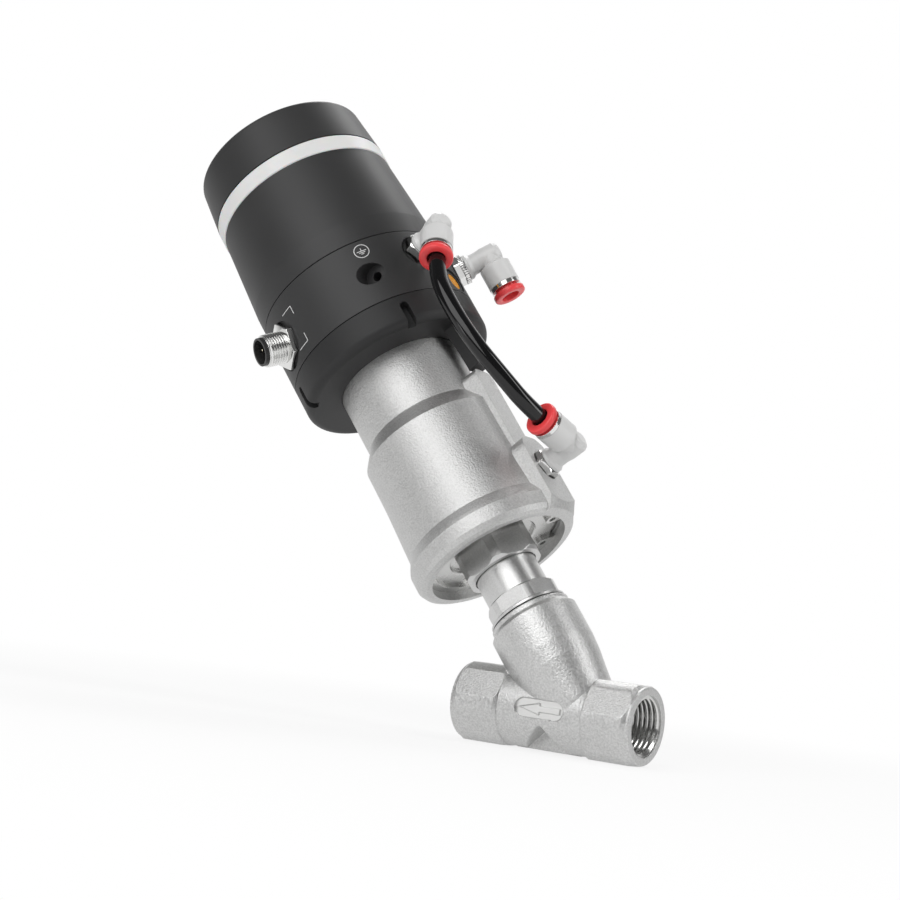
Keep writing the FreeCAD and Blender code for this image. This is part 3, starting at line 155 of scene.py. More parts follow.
def stand(name: str, data: bpy.types.ID) -> bpy.types.Object:
    """Makes an object of its data and puts it in the scene."""
    item = bpy.data.objects.new(name, data)
    bpy.context.scene.collection.objects.link(item)
    return item


def finished_mesh(name: str, shape: bmesh.types.BMesh) -> bpy.types.Mesh:
    """Turns a finished bmesh into a mesh."""
    data = bpy.data.meshes.new(name)
    shape.to_mesh(data)
    shape.free()
    return data


class Graph:
    """The node tree of a material or of the world."""

    def __init__(self, owner: bpy.types.Material | bpy.types.World) -> None:
        """Turns on the owner's nodes and finds its shader.

        Args:
            owner: the material or the world.
        """
        owner.use_nodes = True
        self.tree = owner.node_tree
        self.shader = self.tree.nodes.get("Principled BSDF")

    @staticmethod
    def fill(node: bpy.types.Node, values: dict[str | int, object]) -> None:
        """Fills in a node's inputs, by name or number."""
        for key, value in values.items():
            node.inputs[key].default_value = value

    def add(self, kind: str, values: dict[str | int, object] | None = None,
            **settings: object) -> bpy.types.Node:
        """Adds a node.

        Args:
            kind: the node's type, without its "ShaderNode" beginning.
            values: values of its inputs, by name or number.
            settings: properties of the node.

        Returns:
            The new node.
        """
        node = self.tree.nodes.new("ShaderNode" + kind)
        for key, value in settings.items():
            setattr(node, key, value)
        self.fill(node, values or {})
        return node

    def join(self, *pairs: tuple[Socket, Socket]) -> None:
        """Joins pairs of sockets, each from its first to its second."""
        for source, target in pairs:
            self.tree.links.new(source, target)

    def place(self) -> Socket:
        """Object coordinates, which are the model's frame in metres."""
        return self.add("TexCoord").outputs["Object"]

    def noise(self, scale: float, octaves: float = 3.0, place: Socket | None = None) -> Socket:
        """Adds a noise texture.

        Args:
            scale: cycles per metre.
            octaves: layers of ever finer detail.
            place: coordinates, or None for the object's own.

        Returns:
            The noise's value.
        """
        node = self.add("TexNoise", {"Scale": scale, "Detail": octaves})
        self.join((place or self.place(), node.inputs["Vector"]))
        return node.outputs["Fac"]

    def mapped(self, source: Pair, target: Pair, smooth: bool) -> bpy.types.Node:
        """Adds a node that maps one range to another, smoothly or in a line."""
        return self.add("MapRange", {"From Min": source[0], "From Max": source[1],
                                     "To Min": target[0], "To Max": target[1]},
                        interpolation_type="SMOOTHSTEP" if smooth else "LINEAR")

    def spread(self, value: Socket, low: float, high: float) -> Socket:
        """Spreads a noise value over a range.

        Args:
            value: the noise.
            low: result where the noise is low.
            high: result where the noise is high.

        Returns:
            The spread value.
        """
        node = self.mapped(NOISE_SPAN, (low, high), False)
        self.join((value, node.inputs["Value"]))
        return node.outputs["Result"]

    def tint(self, value: Socket, colour: Triple, depth: float) -> None:
        """Varies the base colour with a noise.

        Args:
            value: the noise.
            colour: the middle colour.
            depth: how far it goes darker and lighter, as a share.
        """
        ramp = self.add("ValToRGB")
        for stop, position, share in zip(ramp.color_ramp.elements, NOISE_SPAN,
                                         (1 - depth, 1 + depth)):
            stop.position = position
            stop.color = (*[min(1.0, part * share) for part in colour], 1)
        self.join((value, ramp.inputs["Fac"]),
                  (ramp.outputs["Color"], self.shader.inputs["Base Color"]))

    def rolled_edges(self, radius: float, samples: int = 6) -> Socket:
        """Normal that rolls over sharp edges with a radius in metres."""
        return self.add("Bevel", {"Radius": radius}, samples=samples).outputs["Normal"]

    def bump(self, heights: Heights, normal: Socket | None = None) -> None:
        """Chains bumps into the shader's normal.

        Args:
            heights: for each bump its height value, strength and depth in metres.
            normal: the normal that the first bump starts from, or None for the surface's own.
        """
        for height, strength, depth in heights:
            node = self.add("Bump", {"Strength": strength, "Distance": depth})
            self.join((height, node.inputs["Height"]))
            if normal is not None:
                self.join((normal, node.inputs["Normal"]))
            normal = node.outputs["Normal"]
        if normal is not None:
            self.join((normal, self.shader.inputs["Normal"]))

    def turned_lines(self, scale: float, octaves: float) -> Socket:
        """Fine rings about the actuator's axis, as a lathe leaves them.

        Args:
            scale: rings per metre.
            octaves: layers of ever finer detail.

        Returns:
            The rings' value.
        """
        turn = self.add("Mapping", {"Location": (-INLET_REACH * MM, 0, 0),
                                    "Rotation": (0, -math.radians(LEAN), 0)},
                        vector_type="TEXTURE")
        apart = self.add("SeparateXYZ")
        flat = self.add("CombineXYZ")
        radius = self.add("VectorMath", operation="LENGTH")
        rings = self.add("CombineXYZ")
        self.join((self.place(), turn.inputs["Vector"]),
                  (turn.outputs["Vector"], apart.inputs["Vector"]),
                  (apart.outputs["X"], flat.inputs["X"]),
                  (apart.outputs["Y"], flat.inputs["Y"]),
                  (flat.outputs["Vector"], radius.inputs[0]),
                  (radius.outputs["Value"], rings.inputs["X"]),
                  (apart.outputs["Z"], rings.inputs["Z"]))
        return self.noise(scale, octaves, rings.outputs["Vector"])


@dataclass(frozen=True)
class Finish:
    """A surface finish: a base colour that varies a little, and a fine grain.

    Scales are cycles per metre. Depths and the rounding of edges are in metres.
    """

    name: str
    colour: Triple
    roughness: float
    metallic: float = 0.0
    variation: float = 0.04
    cloud_scale: float = 60.0
    rough_spread: float = 0.04
    grain_scale: float = 2500.0
    grain_strength: float = 0.05
    grain_depth: float = 0.00005
    edge: float = 0.00025
    specular: float = 0.5

    def build(self) -> bpy.types.Material:
        """Makes the material."""
        material = bpy.data.materials.new(self.name)
        self.dress(Graph(material))
        return material

    def dress(self, graph: Graph) -> None:
        """Sets the shader and its detail.

        Args:
            graph: the material's node tree.
        """
        graph.fill(graph.shader, {"Metallic": self.metallic, "Specular IOR Level": self.specular})
        cloud = graph.noise(self.cloud_scale)
        graph.tint(cloud, self.colour, self.variation)
        rough = graph.spread(cloud, self.roughness - self.rough_spread,
                             self.roughness + self.rough_spread)
        graph.join((rough, graph.shader.inputs["Roughness"]))
        graph.bump(self.relief(graph), graph.rolled_edges(self.edge) if self.edge else None)

    def relief(self, graph: Graph) -> Heights:
        """Heights of the fine grain."""
        return [(graph.noise(self.grain_scale), self.grain_strength, self.grain_depth)]


@dataclass(frozen=True)
class CastFinish(Finish):
    """Blasted casting: fine grain over a softer pebbled skin."""

    pebble_scale: float = 1500.0
    pebble_strength: float = 1.0
    pebble_depth: float = 0.00019
    pebble_octaves: float = 4.0
    grain_octaves: float = 5.0

    def relief(self, graph: Graph) -> Heights:
        """Heights of the pebbled skin and the grain on it."""
        pebbles = graph.noise(self.pebble_scale, self.pebble_octaves)
        grain = graph.noise(self.grain_scale, self.grain_octaves)
        return [(pebbles, self.pebble_strength, self.pebble_depth),
                (grain, self.grain_strength, self.grain_depth)]


@dataclass(frozen=True)
class PanelFinish(CastFinish):
    """Blasted casting whose flow-arrow panel is left smooth and bright."""

    centre: Triple = (-0.0346, 0.0, 0.0009)
    half_length: float = 0.0062
    radius: float = 0.0031
    panel_colour: Triple = (0.74, 0.74, 0.73)
    panel_roughness: float = 0.34

    def panel(self, graph: Graph) -> Socket:
        """Mask of the panel, a stadium on the front of the run.

        Args:
            graph: the material's node tree.

        Returns:
            The mask's value, 1 on the panel and 0 elsewhere.
        """
        steps = (("SUBTRACT", self.centre), ("MULTIPLY", (1, 0, 1)), ("ABSOLUTE", None),
                 ("SUBTRACT", (self.half_length, 0, 0)), ("MAXIMUM", (0, 0, 0)), ("LENGTH", None))
        socket = graph.place()
        for operation, other in steps:
            values = {} if other is None else {1: other}
            node = graph.add("VectorMath", values, operation=operation)
            graph.join((socket, node.inputs[0]))
            socket = node.outputs["Value" if operation == "LENGTH" else "Vector"]
        inside = graph.add("Math", {1: self.radius}, operation="LESS_THAN")
        apart = graph.add("SeparateXYZ")
        front = graph.add("Math", {1: 0.0}, operation="LESS_THAN")
        both = graph.add("Math", operation="MULTIPLY")
        graph.join((socket, inside.inputs[0]), (graph.place(), apart.inputs["Vector"]),
                   (apart.outputs["Y"], front.inputs[0]),
                   (inside.outputs["Value"], both.inputs[0]),
                   (front.outputs["Value"], both.inputs[1]))
        return both.outputs["Value"]

    def dress(self, graph: Graph) -> None:
        """Sets the casting's shader and then the panel's colour and gloss.

        Args:
            graph: the material's node tree.
        """
        super().dress(graph)
        mask, sockets = self.panel(graph), graph.shader.inputs
        rough = graph.add("MapRange", {"To Max": self.panel_roughness})
        colour = graph.add("Mix", {MIX_B: (*self.panel_colour, 1)}, data_type="RGBA")
        graph.join((mask, rough.inputs["Value"]), (mask, colour.inputs[0]),
                   (sockets["Roughness"].links[0].from_socket, rough.inputs["To Min"]),
                   (sockets["Base Color"].links[0].from_socket, colour.inputs[MIX_A]),
                   (rough.outputs["Result"], sockets["Roughness"]),
                   (colour.outputs[MIX_RESULT], sockets["Base Color"]))

    def relief(self, graph: Graph) -> Heights:
        """Heights of the casting's skin, flat on the panel."""
        rest = graph.add("Math", {0: 1.0}, operation="SUBTRACT")
        graph.join((self.panel(graph), rest.inputs[1]))
        flattened = []
        for height, strength, depth in super().relief(graph):
            level = graph.add("Math", operation="MULTIPLY")
            graph.join((height, level.inputs[0]), (rest.outputs["Value"], level.inputs[1]))
            flattened.append((level.outputs["Value"], strength, depth))
        return flattened


@dataclass(frozen=True)
class TurnedFinish(Finish):
    """Metal turned on a lathe, with fine rings about the actuator's axis."""

    line_scale: float = 5200.0
    line_strength: float = 0.10
    line_depth: float = 0.00003
    line_octaves: float = 2.0

    def relief(self, graph: Graph) -> Heights:
        """Heights of the turned rings and a faint grain."""
        lines = graph.turned_lines(self.line_scale, self.line_octaves)
        return [(lines, self.line_strength, self.line_depth), *super().relief(graph)]


@dataclass(frozen=True)
class SinteredFinish(Finish):
    """Small metal beads fused together."""

    bead_scale: float = 1800.0
    bead_strength: float = 0.6
    bead_depth: float = 0.00025

    def relief(self, graph: Graph) -> Heights:
        """Heights of the beads."""
        beads = graph.add("TexVoronoi", {"Scale": self.bead_scale})
        graph.join((graph.place(), beads.inputs["Vector"]))
        return [(beads.outputs["Distance"], self.bead_strength, self.bead_depth)]


@dataclass(frozen=True)
class LampFinish(Finish):
    """Milky plastic that scatters light inside."""

    scatter: float = 0.35
    scatter_reach: float = 0.002

    def dress(self, graph: Graph) -> None:
        """Sets the shader and its scattering."""
        super().dress(graph)
        graph.fill(graph.shader, {"Subsurface Weight": self.scatter,
                                  "Subsurface Scale": self.scatter_reach})


FINISHES: dict[str, Finish] = {
    "cast_steel": CastFinish("blasted_casting", (0.61, 0.61, 0.605), 0.48, 1.0, 0.13, 1500.0, 0.06,
                             2600.0, 0.6, 0.00010),
    "marked_casting": PanelFinish("marked_casting", (0.63, 0.63, 0.625), 0.41, 1.0, 0.16, 1500.0,
                                  0.06, 2600.0, 0.5, 0.00008, edge=0.0006, pebble_depth=0.00017),
    "blasted_neck": CastFinish("blasted_neck", (0.62, 0.62, 0.615), 0.33, 1.0, 0.08, 1700.0, 0.04,
                               3000.0, 0.2, pebble_scale=1700.0, pebble_strength=0.7,
                               pebble_depth=0.00007),
    # The head's skirt: the housing's black made darker, as painted shade below the head.
    "shaded_skirt_black": Finish("satin_black_painted_shade_skirt", (0.018, 0.018, 0.0185), 0.50, 0.0, 0.05, 35.0, 0.03,
                         3200.0, 0.07, 0.00004, specular=0.34),
    "turned_steel": TurnedFinish("turned_metal", (0.60, 0.60, 0.59), 0.26, 1.0),
    "spring_steel": Finish("spring_wire", (0.22, 0.22, 0.23), 0.35, 1.0),
    "piston_metal": TurnedFinish("turned_light_metal", (0.75, 0.76, 0.77), 0.28, 1.0),
    "black_rubber": Finish("black_seal", (0.018, 0.018, 0.018), 0.55),
    "white_packing": Finish("white_packing", (0.80, 0.80, 0.76), 0.45),
    "head_black": Finish("satin_black_housing", (0.029, 0.029, 0.0295), 0.48, 0.0, 0.05, 35.0, 0.03,
                         3200.0, 0.07, 0.00004, specular=0.38),
    "light_white": LampFinish("milky_ring", (0.66, 0.66, 0.655), 0.42),
    "board_green": Finish("board_coating", (0.03, 0.17, 0.06), 0.30),
    "inner_plastic": Finish("black_insert", (0.022, 0.022, 0.022), 0.38),
    "plated_brass": Finish("bright_plating", (0.80, 0.80, 0.79), 0.10, 1.0, 0.03, 90.0, 0.03),
    "contact_brass": Finish("contact_plating", (0.86, 0.80, 0.62), 0.18, 1.0),
    "sintered_orange": SinteredFinish("sintered_beads", (0.72, 0.29, 0.008), 0.50, 0.15,
                                      specular=0.25),
    "elbow_grey": Finish("moulded_grey", (0.60, 0.60, 0.595), 0.32, 0.0, 0.02, 50.0, 0.04,
                         1800.0),
    "ring_red": Finish("moulded_red", (0.78, 0.055, 0.06), 0.32, 0.0, 0.06, 120.0),
    "tube_black": Finish("glossy_tube", (0.004, 0.004, 0.0045), 0.09, 0.0, 0.05, 80.0, 0.02,
                         900.0, 0.02, 0.00003, edge=0.0, specular=0.45),
    "print_white": Finish("white_print", (0.72, 0.72, 0.72), 0.50),
    "thread_steel": Finish("cut_thread", (0.68, 0.68, 0.67), 0.16, 1.0, 0.05, 300.0),
}

# Nodes whose finish isn't their slot's own.
NODE_FINISHES: dict[str, str] = {
    "valve_body": "marked_casting", "bonnet": "blasted_neck", "union_nut": "blasted_neck",
    # The skirt's darker black is painted shade below the head.
    "head_skirt": "shaded_skirt_black"}


class Shape:
    """A bmesh in millimetres in its own frame, made by operators and then placed."""

    def __init__(self) -> None:
        """Starts with an empty mesh."""
        self.mesh = bmesh.new()

    def whole(self) -> Geometry:
        """Every vertex, edge and face."""
        return self.mesh.verts[:] + self.mesh.edges[:] + self.mesh.faces[:]

    def rims(self) -> list[bmesh.types.BMEdge]:
        """The edges of the open ends."""
        return [edge for edge in self.mesh.edges if edge.is_boundary]

    def section(self, corners: Sequence[Pair], closed: bool) -> Geometry:
        """Draws a section through the Z axis.

        Args:
            corners: its (radius, height) pairs.
            closed: whether the last corner is joined to the first.

        Returns:
            Its vertices and edges.
        """
        verts = [self.mesh.verts.new((radius, 0, height)) for radius, height in corners]
        ends = verts[1:] + verts[:1] if closed else verts[1:]
        return verts + [self.mesh.edges.new(pair) for pair in zip(verts, ends)]

    def lathe(self, corners: Sequence[Pair], steps: int = 96) -> "Shape":
        """Spins a closed section about Z.

        Args:
            corners: the section's (radius, height) pairs.
            steps: faces round the turn.

        Returns:
            This shape.
        """
        bmesh.ops.spin(self.mesh, geom=self.section(corners, True), cent=(0, 0, 0),
                       axis=(0, 0, 1), angle=math.tau, steps=steps, use_merge=True)
        return self.clean()

    def ring(self, inner: float, outer: float, low: float, high: float,
             steps: int = 96) -> "Shape":
        """Spins a plain ring between two radii and two heights about Z."""
        return self.lathe([(inner, low), (outer, low), (outer, high), (inner, high)], steps)

    def helix(self, corners: Sequence[Pair], pitch: float, turns: float, steps: int,
              closed: bool) -> "Shape":
        """Winds a section about Z while it climbs.

        Args:
            corners: the section's (radius, height) pairs.
            pitch: rise of one turn.
            turns: number of turns.
            steps: faces in one turn.
            closed: whether the section is closed, as a wire's is.

        Returns:
            This shape.
        """
        bmesh.ops.spin(self.mesh, geom=self.section(corners, closed), cent=(0, 0, 0),
                       axis=(0, 0, 1), dvec=(0, 0, pitch / steps), angle=math.tau * turns,
                       steps=round(turns * steps))
        if closed:
            bmesh.ops.holes_fill(self.mesh, edges=self.rims())
        return self.clean()

    def trim(self, low: float, high: float) -> "Shape":
        """Cuts off what is below one height and above another.

        Args:
            low: the lower cut's height.
            high: the upper cut's height.

        Returns:
            This shape.
        """
        for height, sense in ((low, -1), (high, 1)):
            bmesh.ops.bisect_plane(self.mesh, geom=self.whole(), dist=CUT_REACH,
                                   plane_co=(0, 0, height), plane_no=(0, 0, sense),
                                   clear_outer=True)
        return self

    def wall(self, radius: float) -> "Shape":
        """Closes an open threaded sleeve with end faces and a plain wall.

        Args:
            radius: the wall's radius.

        Returns:
            This shape.
        """
        grown = bmesh.ops.extrude_edge_only(self.mesh, edges=self.rims())["geom"]
        for vert in (item for item in grown if isinstance(item, bmesh.types.BMVert)):
            vert.co.xy = vert.co.xy.normalized() * radius
        bmesh.ops.bridge_loops(self.mesh, edges=self.rims())
        return self.clean()

    def rounded(self, verts: Iterable[bmesh.types.BMVert], width: float) -> "Shape":
        """Rounds the edges at some vertices.

        Args:
            verts: the vertices.
            width: width of the rounding, or 0 for sharp edges.

        Returns:
            This shape.
        """
        if width:
            edges = dict.fromkeys(edge for vert in verts for edge in vert.link_edges)
            bmesh.ops.bevel(self.mesh, geom=list(edges), offset=width, offset_type="OFFSET",
                            segments=BEVEL_STEPS, profile=0.5, affect="EDGES", material=-1)
        return self

    def hexagon(self, corner: float, height: float, turn: float, bevel: float) -> "Shape":
        """Adds a hexagonal prism that stands along Z, with its edges rounded.

        Args:
            corner: distance of its corners from the axis.
            height: height of its top.
            turn: its turn about Z, in degrees.
            bevel: width of the rounding.

        Returns:
            This shape.
        """
        place = Matrix.Translation((0, 0, height / 2)) @ turned(turn, "Z")
        made = bmesh.ops.create_cone(self.mesh, cap_ends=True, segments=6, radius1=corner,
                                     radius2=corner, depth=height, matrix=place)
        return self.rounded(made["verts"], bevel)

    def box(self, centre: Triple, size: Triple, bevel: float = 0.0) -> "Shape":
        """Adds a block with its edges rounded.

        Args:
            centre: its middle.
            size: its three sides.
            bevel: width of the rounding.

        Returns:
            This shape.
        """
        place = Matrix.Translation(centre) @ Matrix.Diagonal((*size, 1))
        made = bmesh.ops.create_cube(self.mesh, size=1, matrix=place)
        return self.rounded(made["verts"], bevel)

    def around(self, count: int) -> "Shape":
        """Repeats the whole shape about Z, that many in all."""
        bmesh.ops.spin(self.mesh, geom=self.whole(), cent=(0, 0, 0), axis=(0, 0, 1),
                       angle=math.tau * (count - 1) / count, steps=count - 1, use_duplicate=True)
        return self

    def moved(self, change: Callable[[Vector], Vector]) -> "Shape":
        """Sends every vertex where a function says."""
        for vert in self.mesh.verts:
            vert.co = change(vert.co)
        return self

    def clean(self) -> "Shape":
        """Merges doubles and points the faces outwards."""
        bmesh.ops.remove_doubles(self.mesh, verts=self.mesh.verts, dist=MERGE_REACH)
        bmesh.ops.recalc_face_normals(self.mesh, faces=self.mesh.faces)
        return self

    def place(self, name: str, matrix: Matrix) -> bpy.types.Object:
        """Makes the finished object, with its place in its mesh.

        Args:
            name: the piece's name.
            matrix: from the shape's frame to the model's frame, in millimetres.

        Returns:
            The object.
        """
        bmesh.ops.transform(self.mesh, matrix=Matrix.Scale(MM, 4) @ matrix, verts=self.mesh.verts)
        data = finished_mesh(name, self.mesh)
        data.shade_smooth()
        data.set_sharp_from_angle(angle=math.radians(SHARP))
        return stand(name, data)


@dataclass(frozen=True)
class Thread:
    """A thread: radii of its root, crest and sleeve, its pitch and a flank's share of that."""

    root: float
    crest: float
    wall: float
    pitch: float
    flank: float
    steps: int

    def sleeve(self, start: float, end: float, low: float, high: float) -> Shape:
        """Winds the thread with a turn to spare at each end, cuts it and closes it to a sleeve.

        Args:
            start: height where the first full turn starts.
            end: height that the thread reaches.
            low: height of the sleeve's foot.
            high: height of its top.

        Returns:
            The sleeve.
        """
        flank = self.pitch * self.flank
        corners = [(self.root, 0.0), (self.crest, flank), (self.crest, self.pitch - flank),
                   (self.root, self.pitch)]
        turns = math.ceil((end - start) / self.pitch) + 2
        shape = Shape().helix(corners, self.pitch, turns, self.steps, False)
        bmesh.ops.translate(shape.mesh, verts=shape.mesh.verts, vec=(0, 0, start - self.pitch))
        return shape.trim(low, high).wall(self.wall)


class Workshop:
    """Finishes pieces: paint, body and a line in the log."""

    def __init__(self) -> None:
        """Makes every finish's material once."""
        self.materials = {key: finish.build() for key, finish in FINISHES.items()}

    def paint(self, piece: bpy.types.Object, finish: str) -> None:
        """Gives a piece the finish of that key."""
        piece.data.materials.clear()
        piece.data.materials.append(self.materials[finish])

    def settle(self, piece: bpy.types.Object, finish: str, body: Body, slot: Slot | None = None,
               replaces: Iterable[str] = ()) -> None:
        """Paints a new piece and fixes it to its body.

        Args:
            piece: the piece.
            finish: the finish's key.
            body: the body that it rides on.
            slot: the record's slot; not used.
            replaces: the CAD nodes that it stands for.
        """
        self.paint(piece, finish)
        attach(piece, body.value)
        if replaces:
            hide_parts(*replaces)
        LOG.info("made %s", piece.name)


@dataclass
class Assembly:
    """A sub-assembly, whose pieces are painted and settled in a workshop."""

    shop: Workshop

    def build(self) -> None:
        """Makes every piece."""
        raise NotImplementedError


@dataclass(frozen=True)
class SoftBox:
    """A rectangular studio light, offset from the aimed point across, up and to the camera."""

    name: str
    offset: Triple
    size: Pair
    watts: float


@dataclass
class Studio:
    """Camera, world, lights and floor, in metres and degrees; sensor and lens in millimetres.

    The room lights the object. Mirror rays see the mirrored room, which grows into the white
    backdrop between the two edges, cosines of the angle to the view. The floor glows for the
    camera with the first glow under the object and the second one past the fade.
    """

    aim: Triple = (-0.0919, 0.0, 0.0869)
    distance: float = 0.8021
    azimuth: float = -56.75
    elevation: float = -3.94
    roll: float = 7.35
    sensor: float = 36.0
    lens: float = 89.4
    nearest: float = 0.01
    floor_size: float = 8.0
    floor_drop: float = 0.0002
    floor_glow: Pair = (0.8, 1.0)
    floor_fade: Pair = (0.10, 0.45)
    floor_colour: Triple = (0.86, 0.86, 0.86)
    floor_roughness: float = 0.9
    room: float = 0.44
    mirrored_room: float = 0.12
    backdrop_edge: Pair = (0.30, 0.85)
    mirrored_floor: float = 0.6
    boxes: tuple[SoftBox, ...] = (
        SoftBox("key_light", (-0.45, 0.70, 0.65), (1.05, 0.80), 6.6),
        SoftBox("side_light", (0.90, 0.40, 0.30), (0.24, 1.10), 3.6),
        SoftBox("fill_light", (-0.85, -0.15, 0.50), (0.14, 0.80), 1.0),
        SoftBox("back_light", (0.30, 0.90, -0.75), (0.60, 0.30), 3.4),
    )

    def build(self) -> None:
        """Makes the whole studio."""
        self.make_camera()
        self.make_world()
        for box in self.boxes:
            self.make_light(box)
        self.make_floor()
        bpy.context.scene.view_settings.view_transform = "Standard"

    def view(self) -> Matrix:
        """Frame at the aimed point, with X and Y across and up the picture and Z to the camera."""
        return (Matrix.Translation(self.aim) @ turned(self.azimuth + 90, "Z")
                @ turned(90 - self.elevation, "X") @ turned(self.roll, "Z"))

    def make_camera(self) -> None:
        """Makes the camera that stands where the photograph was taken from."""
        data = bpy.data.cameras.new("camera")
        data.sensor_width = self.sensor
        data.lens = self.lens
        data.clip_start = self.nearest
        camera = stand("camera", data)
        camera.matrix_world = self.view() @ Matrix.Translation((0, 0, self.distance))
        bpy.context.scene.camera = camera

    def make_world(self) -> None:
        """Makes an even room; camera and mirror rays see a white backdrop behind the object."""
        world = bpy.data.worlds.new("studio")
        bpy.context.scene.world = world
        graph = Graph(world)
        graph.tree.nodes.clear()
        place = graph.add("TexCoord")
        aside = graph.add("VectorMath", {1: -self.view().to_3x3().col[2]}, operation="DOT_PRODUCT")
        backdrop = graph.mapped(self.backdrop_edge, (self.mirrored_room, 1.0), True)
        rays = graph.add("LightPath")
        glossy = graph.add("MapRange", {"To Min": self.room})
        direct = graph.add("Math", operation="MAXIMUM")
        light = graph.add("MapRange")
        surface = graph.add("Background", {"Color": (1, 1, 1, 1)})
        out = graph.add("OutputWorld")
        graph.join(
            (place.outputs["Generated"], aside.inputs[0]),
            (aside.outputs["Value"], backdrop.inputs["Value"]),
            (rays.outputs["Is Glossy Ray"], glossy.inputs["Value"]),
            (backdrop.outputs["Result"], glossy.inputs["To Max"]),
            (rays.outputs["Is Camera Ray"], direct.inputs[0]),
            (rays.outputs["Is Transmission Ray"], direct.inputs[1]),
            (direct.outputs["Value"], light.inputs["Value"]),
            (glossy.outputs["Result"], light.inputs["To Min"]),
            (light.outputs["Result"], surface.inputs["Strength"]),
            (surface.outputs["Background"], out.inputs["Surface"]))

    def make_light(self, box: SoftBox) -> None:
        """Makes one soft box that looks at the aimed point.

        Args:
            box: its place, size and strength.
        """
        data = bpy.data.lights.new(box.name, "AREA")
        data.shape = "RECTANGLE"
        data.size, data.size_y = box.size
        data.energy = box.watts
        offset = self.view().to_3x3() @ Vector(box.offset)
        stand(box.name, data).matrix_world = (
            Matrix.Translation(Vector(self.aim) + offset)
            @ offset.to_track_quat("Z", "Y").to_matrix().to_4x4())

    def make_floor(self) -> None:
        """Makes the pale floor, white to the camera apart from the object's soft shadow."""
        middle = (self.aim[0], 0, CAD_BOX[0].z - self.floor_drop)
        shape = bmesh.new()
        bmesh.ops.create_grid(shape, x_segments=1, y_segments=1, size=self.floor_size / 2)
        bmesh.ops.translate(shape, verts=shape.verts, vec=middle)
        floor = stand("floor", finished_mesh("floor", shape))
        material = bpy.data.materials.new("pale_floor")
        floor.data.materials.append(material)
        graph = Graph(material)
        graph.fill(graph.shader, {"Base Color": (*self.floor_colour, 1),
                                  "Roughness": self.floor_roughness})
        glow = graph.add("Emission")
        rays = graph.add("LightPath")
        seen = graph.add("Math", operation="MAXIMUM")
        direct = graph.add("Math", operation="MAXIMUM")
        mirrored = graph.add("Math", {1: self.mirrored_floor}, operation="MULTIPLY")
        apart = graph.add("VectorMath", {1: middle}, operation="DISTANCE")
        fade = graph.mapped(self.floor_fade, self.floor_glow, True)
        share = graph.add("Math", operation="MULTIPLY")
        mix = graph.add("MixShader")
        graph.join(
            (rays.outputs["Is Camera Ray"], seen.inputs[0]),
            (rays.outputs["Is Glossy Ray"], mirrored.inputs[0]),
            (mirrored.outputs["Value"], seen.inputs[1]),
            (seen.outputs["Value"], direct.inputs[0]),
            (rays.outputs["Is Transmission Ray"], direct.inputs[1]),
            (graph.place(), apart.inputs[0]),
            (apart.outputs["Value"], fade.inputs["Value"]),
            (direct.outputs["Value"], share.inputs[0]),
            (fade.outputs["Result"], share.inputs[1]),
            (share.outputs["Value"], mix.inputs["Fac"]),
            (graph.shader.outputs["BSDF"], mix.inputs[1]),
            (glow.outputs["Emission"], mix.inputs[2]),
            (mix.outputs["Shader"], graph.tree.nodes["Material Output"].inputs["Surface"]))


@dataclass(frozen=True)
class ElbowPlace:
    """Where an elbow stands and which way its arm points."""

    angle: float
    height: float
    seat: float
    arm_turn: float
    seal: float = 1.0
    arm_height: float = 14.0

    def stem_frame(self) -> Matrix:
        """Frame of the elbow's stem, its Z away from the port."""
        return radial_frame(self.angle, self.height, self.seat + self.seal)

    def arm_frame(self) -> Matrix:
        """Frame on the tube's axis, its Z out of the arm."""
        return (self.stem_frame() @ turned(self.arm_turn, "Z")
                @ Matrix.Translation((0, 0, self.arm_height)) @ turned(90, "Y"))

    def arm_point(self, distance: float) -> Vector:
        """Point on the tube's axis that far from the stem, in the model's frame in metres."""
        return (self.arm_frame() @ Vector((0, 0, distance))) * MM


ELBOWS: dict[str, ElbowPlace] = {
    "head_port": ElbowPlace(HEAD_TURN - PORT_SPREAD, 175.6, 34.7, -32.5),
    "supply": ElbowPlace(HEAD_TURN + PORT_SPREAD, 174.1, 35.5, 8.0),
    "air_port": ElbowPlace(ACTUATOR_TURN, 83.5, 29.1, 239.5),
}


@dataclass
class AirTube(Assembly):
    """The short plastic tube from the head to the casing."""

    radius: float = 3.0
    length: float = 100.3
    stop: float = 5.0
    leaves: float = 24.0
    bends: tuple[Triple, ...] = (
        (-81.4, -31.1, 137.1), (-69.5, -30.8, 123.6), (-57.5, -25.5, 111.2))
    order: int = 3
    steps_along: int = 24
    steps_around: int = 10

    def build(self) -> None:
        head, casing = ELBOWS["head_port"], ELBOWS["air_port"]
        points = [head.arm_point(self.stop), head.arm_point(self.leaves)]
        points += [Vector(bend) * MM for bend in self.bends]
        points += [casing.arm_point(self.leaves), casing.arm_point(self.stop)]
        data = bpy.data.curves.new("tube_line", "CURVE")
        data.dimensions = "3D"
        data.bevel_depth = self.radius * MM
        data.bevel_resolution = self.steps_around
        data.resolution_u = self.steps_along
        data.use_fill_caps = True
        spline = data.splines.new("NURBS")
        spline.points.add(len(points) - 1)
        for point, place in zip(spline.points, points):
            point.co = (*place, 1)
        spline.order_u = self.order
        spline.use_endpoint_u = True
        tube = stand("tube_line", data)
        self.shop.settle(tube, "tube_black", Body.ACTUATOR, Slot.TUBE, ["air_tube"])


